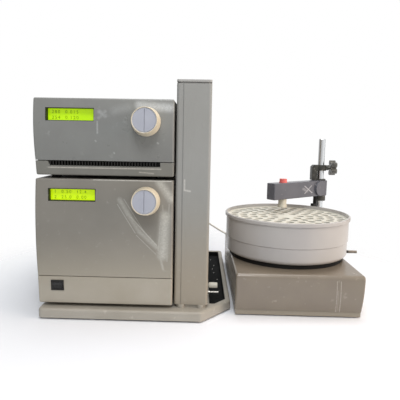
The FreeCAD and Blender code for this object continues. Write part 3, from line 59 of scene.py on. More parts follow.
# The noise values between which mottling goes from the first colour to the second,
# roughness from least to most, and bare paint to a scuff or painted glint, or to its grit.
MOTTLE_BAND = (0.32, 0.68)
ROUGHNESS_BAND = (0.3, 0.7)
SCUFF_AND_GLINT_BAND = (0.62, 0.74)
GRIT_BAND = (0.36, 0.6)
# How far roughness swings to either side, as a share of itself.
ROUGHNESS_SWING = 0.12
# How much of a mark is left where the grit breaks it up most.
GRIT_LEAVES = 0.6
# How sharply a mark ends where the surface turns away from the mark's side.
TURN_SHARPNESS = 3.0
# How near to a plane, in metres, a vertex counts as on it.
TOUCH = 0.01 * MM

# Where the part's frame lies in the set's own millimetres, which the camera and the
# marks on the surfaces are given in: X from the left of the modules, Y from their
# most forward line and Z from the bench.
FRAME_X = 320.95
FRAME_Y = 219.06


def at(x: float, y: float, z: float) -> Vector:
    """Gives a point of the part's frame in metres from the set's own millimetres."""
    return Vector((x - FRAME_X, y - FRAME_Y, z)) * MM


def linear(code: str) -> tuple[float, float, float, float]:
    """Turns an sRGB hex colour into a linear one.

    Args:
        code: Six hex digits after a hash sign.

    Returns:
        Linear red, green and blue, with an alpha of 1.
    """
    parts = [int(code[i:i + 2], 16) / 255 for i in (1, 3, 5)]
    channels = [c / 12.92 if c <= 0.04045 else ((c + 0.055) / 1.055) ** 2.4 for c in parts]
    return (*channels, 1.0)


def add_node(tree: bpy.types.NodeTree, kind: str, inputs: dict | None = None,
             **settings: object) -> bpy.types.Node:
    """Adds a shader node.

    Args:
        tree: The tree that gets the node.
        kind: The node's type name.
        inputs: Values for its inputs, or output sockets to link to them.
        settings: The node's own settings.

    Returns:
        The new node.
    """
    node = tree.nodes.new(kind)
    for name, value in settings.items():
        setattr(node, name, value)
    for key, value in (inputs or {}).items():
        if isinstance(value, bpy.types.NodeSocket):
            tree.links.new(value, node.inputs[key])
        else:
            node.inputs[key].default_value = value
    return node


class Side(Enum):
    """Where a mark is drawn: the axes it is measured along, and the way it faces."""

    FRONT = ((0, 2), (0.0, -1.0, 0.0))
    ALL_ROUND = ((0, 1), (0.0, 0.0, 0.0))

    @property
    def axes(self) -> tuple[int, int]:
        """Gives the two axes that the mark is measured along."""
        return self.value[0]

    @property
    def facing(self) -> tuple[float, float, float]:
        """Gives the direction that marked faces look in, or zeros for all of them."""
        return self.value[1]


@dataclass(frozen=True)
class Stroke:
    """A straight mark from one point of a surface to another, in millimetres; most are
    scuff marks, a few are painted highlights.
    """

    start: tuple[float, float, float]
    end: tuple[float, float, float]
    width: float
    strength: float
    side: Side = Side.FRONT

    def mask(self, tree: bpy.types.NodeTree,
             position: bpy.types.NodeSocket) -> bpy.types.NodeSocket:
        """Gives how strongly the mark covers each point.

        Args:
            tree: The material's node tree.
            position: Object coordinates, in metres.

        Returns:
            A socket that is the stroke's strength on its line and 0 off it.
        """
        keep = Vector([1.0 if axis in self.side.axes else 0.0 for axis in range(3)])
        start = at(*self.start) * keep
        end = at(*self.end) * keep
        run = end - start
        flat = add_node(tree, "ShaderNodeVectorMath", {0: position, 1: keep},
                        operation="MULTIPLY")
        offset = add_node(tree, "ShaderNodeVectorMath", {0: flat.outputs[0], 1: start},
                          operation="SUBTRACT")
        along = add_node(tree, "ShaderNodeVectorMath", {0: offset.outputs[0], 1: run},
                         operation="DOT_PRODUCT")
        share = add_node(tree, "ShaderNodeMath",
                         {0: along.outputs["Value"], 1: run.length_squared},
                         operation="DIVIDE", use_clamp=True)
        foot = add_node(tree, "ShaderNodeVectorMath", {0: run, "Scale": share.outputs[0]},
                        operation="SCALE")
        away = add_node(tree, "ShaderNodeVectorMath",
                        {0: offset.outputs[0], 1: foot.outputs[0]}, operation="DISTANCE")
        half = self.width * MM / 2
        edge = add_node(tree, "ShaderNodeMapRange", {
            "Value": away.outputs["Value"], "From Min": 0.0, "From Max": half,
            "To Min": self.strength, "To Max": 0.0}, interpolation_type="SMOOTHSTEP")
        if not any(self.side.facing):
            return edge.outputs["Result"]
        normal = add_node(tree, "ShaderNodeTexCoord").outputs["Normal"]
        turned = add_node(tree, "ShaderNodeVectorMath", {
            0: normal, 1: self.side.facing}, operation="DOT_PRODUCT")
        faces = add_node(tree, "ShaderNodeMath", {
            0: turned.outputs["Value"], 1: TURN_SHARPNESS},
            operation="MULTIPLY", use_clamp=True)
        shown = add_node(tree, "ShaderNodeMath", {
            0: faces.outputs[0], 1: edge.outputs["Result"]}, operation="MULTIPLY")
        return shown.outputs[0]


@dataclass(frozen=True)
class Finish:
    """A surface with a grain, mottling, scuff marks where it has been handled, and painted
    highlights on some finishes.

    The grain is the fine relief of the process, and one finer than about half a
    millimetre is drawn that coarse, so that it shows. The mottling is the slow change
    of colour over the surface. A low colour, where there is one, takes over from the
    height high_mm down to low_mm, as dust and warm light from the bench do.
    """

    name: str
    colour: str
    second: str
    roughness: float
    grain_mm: float = 0.6
    grain_depth_mm: float = 0.02
    mottle_mm: float = 60.0
    metallic: float = 0.0
    wear_and_highlight_colour: str = "#d8d4cb"
    wear_and_glint: float = 0.0
    wear_and_glint_mm: float = 14.0
    strokes: tuple[Stroke, ...] = ()
    # A low colour stands for dust and for painted warm light thrown up from the bench.
    low_colour: str = ""
    low_mm: float = 0.0
    high_mm: float = 1.0
    specular: float = 0.5
    stretch: tuple[float, float, float] = (1.0, 1.0, 1.0)

    def make(self) -> bpy.types.Material:
        """Builds the material, once for each name.

        Returns:
            The Blender material.
        """
        made = bpy.data.materials.get(self.name)
        if made is not None:
            return made
        material = bpy.data.materials.new(self.name)
        material.use_nodes = True
        tree = material.node_tree
        tree.nodes.clear()
        place = add_node(tree, "ShaderNodeTexCoord").outputs["Object"]
        base = self.base_colour(tree, place)
        rough = self.roughness_map(tree, place)
        marks = [stroke.mask(tree, place) for stroke in self.strokes]
        if self.wear_and_glint > 0.0:
            marks.append(self.scuffs_and_glints(tree, place))
        if marks:
            base, rough = self.worn_and_highlighted(tree, place, base, rough, marks)
        shader = add_node(tree, "ShaderNodeBsdfPrincipled", {
            "Base Color": base, "Roughness": rough, "Metallic": self.metallic,
            "Normal": self.relief(tree, place)})
        if self.metallic < 0.5:
            shader.inputs["IOR"].default_value = PLASTIC_IOR
            shader.inputs["Specular IOR Level"].default_value = self.specular
        add_node(tree, "ShaderNodeOutputMaterial", {"Surface": shader.outputs[0]})
        return material

    def spread(self, tree: bpy.types.NodeTree, place: bpy.types.NodeSocket,
               size_mm: float, detail: float) -> bpy.types.NodeSocket:
        """Gives noise whose blots are about size_mm across.

        Args:
            tree: The material's node tree.
            place: Object coordinates.
            size_mm: Size of a blot, in millimetres.
            detail: Octaves of finer noise.

        Returns:
            The noise's factor, around one half.
        """
        room = add_node(tree, "ShaderNodeMapping", {
            "Vector": place, "Scale": self.stretch})
        noise = add_node(tree, "ShaderNodeTexNoise", {
            "Vector": room.outputs[0], "Scale": 1.0 / (size_mm * MM),
            "Detail": detail, "Roughness": 0.55})
        return noise.outputs["Fac"]

    def base_colour(self, tree: bpy.types.NodeTree,
                    place: bpy.types.NodeSocket) -> bpy.types.NodeSocket:
        """Mixes the two colours by the slow mottling, and lays the low colour over them.

        Args:
            tree: The material's node tree.
            place: Object coordinates.

        Returns:
            The colour of the sound surface.
        """
        blot = self.spread(tree, place, self.mottle_mm, 3.0)
        ramp = add_node(tree, "ShaderNodeMapRange", {
            "Value": blot, "From Min": MOTTLE_BAND[0], "From Max": MOTTLE_BAND[1]})
        mix = add_node(tree, "ShaderNodeMix", {
            "Factor": ramp.outputs["Result"], "A": linear(self.colour),
            "B": linear(self.second)}, data_type="RGBA")
        if not self.low_colour:
            return mix.outputs["Result"]
        axes = add_node(tree, "ShaderNodeSeparateXYZ", {"Vector": place})
        depth = add_node(tree, "ShaderNodeMapRange", {
            "Value": axes.outputs["Z"], "From Min": self.low_mm * MM,
            "From Max": self.high_mm * MM, "To Min": 1.0, "To Max": 0.0},
            interpolation_type="SMOOTHSTEP")
        low = add_node(tree, "ShaderNodeMix", {
            "Factor": depth.outputs["Result"], "A": mix.outputs["Result"],
            "B": linear(self.low_colour)}, data_type="RGBA")
        return low.outputs["Result"]

    def roughness_map(self, tree: bpy.types.NodeTree,
                      place: bpy.types.NodeSocket) -> bpy.types.NodeSocket:
        """Varies the roughness a little over the surface.

        Args:
            tree: The material's node tree.
            place: Object coordinates.

        Returns:
            The roughness of the sound surface.
        """
        blot = self.spread(tree, place, self.mottle_mm / 3, 4.0)
        ramp = add_node(tree, "ShaderNodeMapRange", {
            "Value": blot, "From Min": ROUGHNESS_BAND[0], "From Max": ROUGHNESS_BAND[1],
            "To Min": self.roughness * (1.0 - ROUGHNESS_SWING),
            "To Max": self.roughness * (1.0 + ROUGHNESS_SWING)})
        return ramp.outputs["Result"]

    def scuffs_and_glints(self, tree: bpy.types.NodeTree,
               place: bpy.types.NodeSocket) -> bpy.types.NodeSocket:
        """Gives scattered pale blots: rub marks, and on the knob and the clamp painted
        highlights.

        Args:
            tree: The material's node tree.
            place: Object coordinates.

        Returns:
            How strongly the blots cover a point.
        """
        blot = self.spread(tree, place, self.wear_and_glint_mm, 8.0)
        ramp = add_node(tree, "ShaderNodeMapRange", {
            "Value": blot, "From Min": SCUFF_AND_GLINT_BAND[0], "From Max": SCUFF_AND_GLINT_BAND[1],
            "To Min": 0.0, "To Max": self.wear_and_glint}, interpolation_type="SMOOTHSTEP")
        return ramp.outputs["Result"]

    def worn_and_highlighted(self, tree: bpy.types.NodeTree, place: bpy.types.NodeSocket,
             base: bpy.types.NodeSocket, rough: bpy.types.NodeSocket,
             marks: list[bpy.types.NodeSocket]
             ) -> tuple[bpy.types.NodeSocket, bpy.types.NodeSocket]:
        """Lays the marks over colour and roughness, broken up by fine noise.

        Args:
            tree: The material's node tree.
            place: Object coordinates.
            base: Colour of the sound surface.
            rough: Roughness of the sound surface.
            marks: How strongly each mark covers a point.

        Returns:
            The marked colour and the marked roughness.
        """
        total = marks[0]
        for mark in marks[1:]:
            joined = add_node(tree, "ShaderNodeMath", {0: total, 1: mark},
                              operation="MAXIMUM")
            total = joined.outputs[0]
        grit = add_node(tree, "ShaderNodeMapRange", {
            "Value": self.spread(tree, place, GRIT_MM, 5.0), "From Min": GRIT_BAND[0],
            "From Max": GRIT_BAND[1], "To Min": GRIT_LEAVES, "To Max": 1.0})
        broken = add_node(tree, "ShaderNodeMath", {
            0: total, 1: grit.outputs["Result"]}, operation="MULTIPLY", use_clamp=True)
        colour = add_node(tree, "ShaderNodeMix", {
            "Factor": broken.outputs[0], "A": base, "B": linear(self.wear_and_highlight_colour)},
            data_type="RGBA")
        dull = add_node(tree, "ShaderNodeMath", {
            0: broken.outputs[0], 1: SCUFF_AND_HIGHLIGHT_ROUGHNESS, 2: rough}, operation="MULTIPLY_ADD",
            use_clamp=True)
        return colour.outputs["Result"], dull.outputs[0]

    def relief(self, tree: bpy.types.NodeTree,
               place: bpy.types.NodeSocket) -> bpy.types.NodeSocket:
        """Gives the normal of the surface's grain.

        Args:
            tree: The material's node tree.
            place: Object coordinates.

        Returns:
            The bent normal.
        """
        bump = add_node(tree, "ShaderNodeBump", {
            "Height": self.spread(tree, place, self.grain_mm, 2.0), "Strength": 0.6,
            "Distance": self.grain_depth_mm * MM})
        return bump.outputs["Normal"]


@dataclass(frozen=True)
class LitDisplay:
    """Backlit liquid crystal display: a yellow-green glow behind clear acrylic."""

    name: str
    glow: str
    dim: str
    strength: float = 0.5
    mottle_mm: float = 18.0
    roughness: float = 0.25
    ior: float = 1.49

    def make(self) -> bpy.types.Material:
        """Builds the glowing material.

        Returns:
            The Blender material.
        """
        material = bpy.data.materials.new(self.name)
        material.use_nodes = True
        tree = material.node_tree
        tree.nodes.clear()
        place = add_node(tree, "ShaderNodeTexCoord").outputs["Object"]
        # The backlight's diffuser is a little uneven over the width of the glass.
        noise = add_node(tree, "ShaderNodeTexNoise", {
            "Vector": place, "Scale": 1.0 / (self.mottle_mm * MM), "Detail": 2.0})
        mix = add_node(tree, "ShaderNodeMix", {
            "Factor": noise.outputs["Fac"], "A": linear(self.glow),
            "B": linear(self.dim)}, data_type="RGBA")
        shader = add_node(tree, "ShaderNodeBsdfPrincipled", {
            "Base Color": mix.outputs["Result"], "Roughness": self.roughness,
            "IOR": self.ior, "Emission Color": mix.outputs["Result"],
            "Emission Strength": self.strength})
        add_node(tree, "ShaderNodeOutputMaterial", {"Surface": shader.outputs[0]})
        return material


class Marks:
    """Scuff marks read from the surfaces, and painted highlights, in the set's own
    millimetres.
    """

    pump = (
        Stroke((160.2, 0, 234.3), (197.0, 0, 176.0), 15.0, 0.4),
        Stroke((197.0, 0, 176.0), (231.0, 0, 145.0), 15.0, 0.45),
        Stroke((181.7, 0, 202.1), (231.0, 0, 148.4), 4.0, 0.75),
        Stroke((162.0, 0, 233.0), (174.0, 0, 206.0), 6.0, 0.4),
        Stroke((156.0, 0, 226.0), (190.0, 0, 172.0), 2.6, 0.5),
        Stroke((168.0, 0, 236.0), (205.0, 0, 178.0), 2.2, 0.45),
        Stroke((192.0, 0, 168.0), (229.0, 0, 132.0), 2.4, 0.45),
        Stroke((253.0, 0, 228.0), (250.0, 0, 118.0), 2.6, 0.5),
        Stroke((241.0, 0, 226.0), (246.0, 0, 150.0), 2.2, 0.45),
        Stroke((246.0, 0, 205.0), (241.5, 0, 130.0), 32.0, 0.7),
        Stroke((237.0, 0, 194.0), (233.5, 0, 142.0), 3.4, 0.6),
        Stroke((233.0, 0, 143.0), (242.8, 0, 102.1), 7.0, 0.5),
        Stroke((233.9, 0, 268.1), (256.9, 0, 237.4), 24.0, 0.6),
        # A painted highlight: the crowned top edge catching the light.
        Stroke((110.0, 0, 270.6), (256.0, 0, 270.6), 3.0, 0.8),
    )
    monitor = (
        Stroke((119.5, 0, 378.0), (119.5, 0, 357.4), 5.0, 0.4),
        Stroke((123.0, 0, 396.0), (134.0, 0, 389.0), 13.0, 0.28),
        Stroke((134.0, 0, 397.0), (122.0, 0, 385.0), 10.0, 0.22),
        Stroke((150.0, 0, 398.0), (176.0, 0, 404.0), 26.0, 0.15),
        # A painted highlight: the crown's top right, lit from above.
        Stroke((196.0, 0, 409.0), (252.0, 0, 405.0), 26.0, 0.7),
        Stroke((115.6, 0, 343.4), (116.4, 0, 342.6), 5.0, 0.5),
        Stroke((149.3, 0, 321.9), (149.8, 0, 320.9), 5.0, 0.5),
        Stroke((230.3, 0, 341.4), (231.5, 0, 340.4), 5.5, 0.5),
    )
    spout = (
        Stroke((664.0, 205.0, 93.6), (700.0, 205.0, 93.6), 16.0, 1.0, Side.ALL_ROUND),
    )
    vent_strip = (
        # A painted highlight along the vent's edge.
        Stroke((24.0, 0, 292.5), (236.0, 0, 292.5), 3.6, 0.8),
        Stroke((196.0, 0, 286.0), (222.0, 0, 284.0), 4.0, 0.6),
    )
    tower = (
        Stroke((280.4, 20, 272.3), (280.4, 20, 254.0), 5.0, 1.0),
        Stroke((280.4, 20, 253.0), (291.0, 20, 251.0), 6.0, 1.0),
    )
    collector = (
        Stroke((580.7, 30, 79.0), (584.3, 30, 12.0), 2.8, 0.35),
        Stroke((588.4, 30, 79.0), (592.0, 30, 12.0), 2.8, 0.4),
        Stroke((584.4, 30, 60.0), (587.3, 30, 12.0), 2.2, 0.25),
    )
    arm = (
        Stroke((570.0, 277.0, 239.0), (593.0, 295.0, 221.0), 3.6, 0.9),
        Stroke((591.0, 293.0, 239.0), (571.0, 278.0, 220.5), 3.4, 0.8),
        Stroke((566.0, 274.0, 232.0), (578.0, 284.0, 226.0), 12.0, 0.3),
    )


# Structured paint on steel: a fine orange-peel grain that keeps highlights soft; lower
# down it is painted warmer, for dust and warm light from the bench.
HOUSING_PAINT = Finish("structured_paint_on_steel", "#8d8a82", "#85827a", 0.45,
                       grain_mm=0.9, grain_depth_mm=0.03, mottle_mm=90, wear_and_glint=0.12,
                       low_colour="#948c7e", low_mm=40, high_mm=240)
# Painted polyurethane moulding: satin, with a painted highlight along the crown's top
# edge;
# the lower half is painted warmer, for dust and warm light thrown up from the bench.
PUMP_PAINT = Finish("painted_moulding_pump_front", "#8b8881", "#84817a", 0.38,
                    grain_mm=0.9, grain_depth_mm=0.02, mottle_mm=80, wear_and_glint=0.16,
                    wear_and_highlight_colour="#d2d2cb", strokes=Marks.pump,
                    low_colour="#aaa394", low_mm=40, high_mm=190)
# The same paint on the monitor: cooler, and glossier where less has touched it; a broad
# pale stroke at the top right is a painted highlight on the crown.
MONITOR_PAINT = Finish("painted_moulding_monitor_front", "#8c8e8c", "#858684", 0.30,
                       grain_mm=0.9, grain_depth_mm=0.015, mottle_mm=80, wear_and_glint=0.16,
                       wear_and_highlight_colour="#d6dadc", strokes=Marks.monitor)
# Painted strips low on the modules: more rubbed, because hands lift them there.
STRIP_PAINT = Finish("painted_moulding_lower_strips", "#b0aa9d", "#a8a192", 0.42,
                     grain_mm=0.9, grain_depth_mm=0.02, mottle_mm=70, wear_and_glint=0.2)
# The strip under the monitor, of the same cool batch as its front panel, with a painted
# highlight along the vent's edge.
VENT_STRIP_PAINT = Finish("painted_moulding_vent_strip", "#85857f", "#7d7c76", 0.40,
                          grain_mm=0.9, grain_depth_mm=0.02, mottle_mm=70, wear_and_glint=0.25,
                          strokes=Marks.vent_strip)
# Painted cover of the collector: a darker, browner batch with dry scratches.
COLLECTOR_PAINT = Finish("painted_moulding_collector", "#857b6c", "#7c7265", 0.22,
                         grain_mm=0.9, grain_depth_mm=0.02, mottle_mm=90, wear_and_glint=0.22,
                         specular=0.8, strokes=Marks.collector)
# Painted folded steel, with a pale scrape in the shape of an L; lower down it is painted
# warmer, for dust and warm light from the bench.
TOWER_PAINT = Finish("structured_paint_on_tower", "#9fa09e", "#989996", 0.40,
                     grain_mm=0.9, grain_depth_mm=0.03, mottle_mm=120, wear_and_glint=0.1,
                     strokes=Marks.tower, wear_and_highlight_colour="#c9c8c4",
                     low_colour="#9a9284", low_mm=60, high_mm=260)
# Painted lid of the tower, paler than the column under it.
CAP_PAINT = Finish("painted_moulding_tower_lid", "#b4b4b2", "#acacaa", 0.40,
                   grain_mm=0.9, grain_depth_mm=0.02, mottle_mm=40, wear_and_glint=0.15)
# Painted moulding that takes the knocks at the front edge of the bench.
PLATFORM_PAINT = Finish("painted_moulding_platform", "#aba69c", "#a29d92", 0.45,
                        grain_mm=1.2, grain_depth_mm=0.04, mottle_mm=70, wear_and_glint=0.35)
# Injection-moulded ABS, spark-eroded: a dull black with the finest grain.
BLACK_ABS = Finish("black_abs_moulding", "#1d1c1b", "#242321", 0.55, grain_mm=0.7,
                   mottle_mm=40, specular=0.35)
# The rocker's polished cap, which catches the lamps.
ROCKER_GLOSS = Finish("polished_nylon_rocker", "#232323", "#1c1c1c", 0.12,
                      grain_mm=1.5, grain_depth_mm=0.002, mottle_mm=10)
# Vacuum-formed liner: matt, with salts dried on it in pale specks.
LINER_BLACK = Finish("black_polystyrene_liner", "#191a1a", "#222323", 0.85,
                     grain_mm=1.5, grain_depth_mm=0.03, mottle_mm=30, wear_and_glint=0.12,
                     wear_and_highlight_colour="#5f615e", specular=0.12)
# Rack plate deep in the bowl, painted dark: the shade seen down the holder's holes.
SUPPORT_PAINTED_SHADE = Finish("polypropylene_plate_painted_shade", "#5d5a50", "#4a4840", 0.6,
                         grain_mm=0.8, grain_depth_mm=0.02, mottle_mm=25)
# Gutter of polypropylene, painted black as the shadow in the gap under the bowl; its long
# spout has greyed.
GUTTER_PAINTED_SHADE = Finish("polypropylene_gutter_painted_shade", "#171717", "#201f1e", 0.6,
                      grain_mm=0.9, mottle_mm=30, specular=0.25,
                      strokes=Marks.spout, wear_and_highlight_colour="#a39a8e")
# Rubber feet and sleeve: no sheen at all.
RUBBER = Finish("black_rubber_pad", "#1b1b1b", "#262626", 0.85, grain_mm=1.0,
                grain_depth_mm=0.05, specular=0.2)
# Cream ABS grip ring, yellowed a little by age.
DIAL_CREAM = Finish("cream_abs_grip_ring", "#e6dcc6", "#dccfb4", 0.35, grain_mm=0.5,
                    grain_depth_mm=0.01, mottle_mm=25)
# Blue-grey ABS buttons, polished by fingers.
BUTTON_BLUE = Finish("blue_grey_abs_button", "#b6bac6", "#aeb2bf", 0.34, grain_mm=0.5,
                     grain_depth_mm=0.01, mottle_mm=25)
# Pale core behind the buttons, seen in the line between them.
CORE_PALE = Finish("pale_abs_dial_core", "#eceef2", "#e2e4ea", 0.4, grain_mm=0.5,
                   grain_depth_mm=0.01, mottle_mm=25)
# Satin moulded bowl, with the faintest sheen line down its side.
BOWL_ABS = Finish("grey_abs_bowl", "#bfbcb9", "#b6b3b2", 0.20, grain_mm=0.8,
                  grain_depth_mm=0.015, mottle_mm=110, wear_and_glint=0.08,
                  wear_and_highlight_colour="#d8d2c8")
# Moulded polypropylene rack: waxy and dull.
HOLDER_IVORY = Finish("ivory_polypropylene_holder", "#e9e7dc", "#dedbcf", 0.5,
                      grain_mm=0.8, grain_depth_mm=0.02, mottle_mm=30)
# Hard chromed steel post: bright, a little hazed, with faint rub lines along it.
CHROME = Finish("hard_chromed_steel_post", "#eceeef", "#dddedf", 0.24, metallic=1.0,
                grain_mm=2.0, grain_depth_mm=0.0003, mottle_mm=40,
                stretch=(1.0, 1.0, 0.1))
# Turned stainless steel: soft highlights broken by the tool's fine marks.
TURNED_STEEL = Finish("turned_stainless_steel", "#b9b6b0", "#a9a6a0", 0.3,
                      metallic=1.0, grain_mm=0.5, grain_depth_mm=0.01, mottle_mm=20)
# Cast aluminium: grey and pebbled.
CAST_ALUMINIUM = Finish("cast_aluminium_case", "#a7a8a8", "#9a9b9c", 0.5,
                        metallic=1.0, grain_mm=1.5, grain_depth_mm=0.05)
# Painted die casting, black, blotched with pale painted highlights.
CLAMP_BLACK = Finish("black_painted_die_casting", "#2b2b28", "#45443e", 0.36,
                     grain_mm=1.0, grain_depth_mm=0.04, mottle_mm=12, wear_and_glint=0.8,
                     wear_and_glint_mm=6.0, wear_and_highlight_colour="#c9c5b9")
# Phenolic knob: polished, mottled paler, with pale highlights painted on its lobes.
KNOB_BLACK = Finish("polished_phenolic_knob", "#2b2a26", "#75736a", 0.14,
                    grain_mm=1.2, grain_depth_mm=0.01, mottle_mm=8, wear_and_glint=0.9,
                    wear_and_glint_mm=5.0, wear_and_highlight_colour="#d9d7cc", specular=0.9)
# Graphite-grey moulding: satin, and scuffed white across the middle.
ARM_GREY = Finish("graphite_abs_arm", "#66676f", "#5d5e66", 0.22, grain_mm=0.8,
                  grain_depth_mm=0.02, mottle_mm=40, wear_and_glint=0.2, wear_and_glint_mm=10.0,
                  wear_and_highlight_colour="#d3d3d8", strokes=Marks.arm)
# Turned fluoropolymer: chalky white.
FITTING_WHITE = Finish("turned_fluoropolymer_white", "#dcd9cc", "#cfcbbc", 0.45,
                       grain_mm=0.6, grain_depth_mm=0.01, mottle_mm=12)
# Red acetal: a clear colour with a small highlight.
NUT_RED = Finish("red_acetal_finger_nut", "#ee807a", "#e8706b", 0.35, grain_mm=0.6,
                 grain_depth_mm=0.01, mottle_mm=10)
# Vinyl sheath: pale, with the dirt of the bench in it.
SHEATH = Finish("white_vinyl_cable_sheath", "#f3f2ec", "#e6e4dc", 0.35, grain_mm=1.0,
                grain_depth_mm=0.02, mottle_mm=30)
# Circuit board laminate: green under a clear lacquer.
LAMINATE = Finish("green_epoxy_laminate", "#1f5a35", "#1b4f30", 0.35, grain_mm=1.2,
                  grain_depth_mm=0.05, mottle_mm=8)
# Characters of a liquid crystal display: a darker green than the glow, no gloss.
CRYSTAL_INK = Finish("liquid_crystal_segments", "#93b800", "#8aae00", 0.5,
                     grain_mm=0.4, grain_depth_mm=0.005, mottle_mm=9, specular=0.2)
# Dried salt: white, rough crumbs.
SALT = Finish("dried_salt_crumb", "#e9e8e4", "#d9d8d2", 0.8, grain_mm=0.4,
              grain_depth_mm=0.1, mottle_mm=2)


def settle(piece: bpy.types.Object, finish: Finish, body: str) -> None:
    """Puts a modelled piece's place into its mesh, and dresses and binds it.

    Args:
        piece: The finished mesh object.
        finish: Its surface.
        body: The moving or standing body that it goes with.
    """
    bpy.ops.object.select_all(action="DESELECT")
    piece.select_set(True)
    bpy.context.view_layer.objects.active = piece
    bpy.ops.object.transform_apply(location=True, rotation=True, scale=True)
    piece.data.materials.clear()
    piece.data.materials.append(finish.make())
    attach(piece, body)


def copy_of(piece: bpy.types.Object, name: str, shift: Vector) -> bpy.types.Object:
    """Copies a finished piece with a mesh of its own.

    Args:
        piece: The piece that was modelled first.
        name: The copy's name.
        shift: How far the copy stands from it, in metres.

    Returns:
        The copy.
    """
    mesh = piece.data.copy()
    mesh.transform(Matrix.Translation(shift))
    copy = bpy.data.objects.new(name, mesh)
    bpy.context.scene.collection.objects.link(copy)
    return copy


@dataclass
class SubAssembly:
    """A group of CAD nodes with their finishes, and the small pieces on them."""

    nodes: dict[str, bpy.types.Object]

    finishes: ClassVar[dict[str, Finish | LitDisplay]] = {}

    def dress(self) -> None:
        """Gives each node of the group its finish."""
        for name, finish in self.finishes.items():
            node = self.nodes[name]
            node.data.materials.clear()
            node.data.materials.append(finish.make())
            LOG.info("%s: %s", name, finish.name)

    def build(self) -> None:
        """Models the small pieces; a group without any has none to make."""


@dataclass
class Platform(SubAssembly):
    """Platform under the modules and the tower, with crumbs of salt in its tray."""

    crumbs: tuple[tuple[float, float], ...] = (
        (349.0, 284.0), (351.0, 348.0), (346.5, 316.0), (356.0, 233.0), (343.5, 402.0))
    crumb_mm: float = 2.4
    crumb_stretch: tuple[float, float, float] = (1.0, 1.3, 0.5)
    crumb_jitter: float = 0.18
    crumb_lift: float = 0.3
    tray_floor: float = 8.0

    finishes: ClassVar = {"platform_base": PLATFORM_PAINT, "drip_tray": LINER_BLACK,
                          "bench_feet": RUBBER}

    def build(self) -> None:
        """Models one crumb as a crushed ball, and copies it along the tray."""
        first = at(*self.crumbs[0], self.tray_floor + self.crumb_mm * self.crumb_lift)
        bpy.ops.object.select_all(action="DESELECT")
        bpy.ops.mesh.primitive_ico_sphere_add(
            subdivisions=2, radius=self.crumb_mm * MM, location=first)
        crumb = bpy.context.object
        crumb.name = "salt_crumb_1"
        bpy.ops.object.mode_set(mode="EDIT")
        bpy.ops.mesh.select_all(action="SELECT")
        bpy.ops.transform.resize(value=self.crumb_stretch)
        bpy.ops.transform.vertex_random(
            offset=self.crumb_mm * MM * self.crumb_jitter, seed=4)
        bpy.ops.object.mode_set(mode="OBJECT")
        settle(crumb, SALT, "frame")
        for number, (x, y) in enumerate(self.crumbs[1:], start=2):
            shift = at(x, y, 0.0) - at(*self.crumbs[0], 0.0)
            copy = copy_of(crumb, f"salt_crumb_{number}", shift)
            settle(copy, SALT, "frame")
        LOG.info("salt crumbs: %d", len(self.crumbs))


@dataclass
class Tower(SubAssembly):
    """Column beside the modules, with the filter and the union at its foot."""

    finishes: ClassVar = {"tower_base": PLATFORM_PAINT, "tower_column": TOWER_PAINT,
                          "tower_cap": CAP_PAINT, "inline_filter": FITTING_WHITE,
                          "tube_union": TURNED_STEEL}


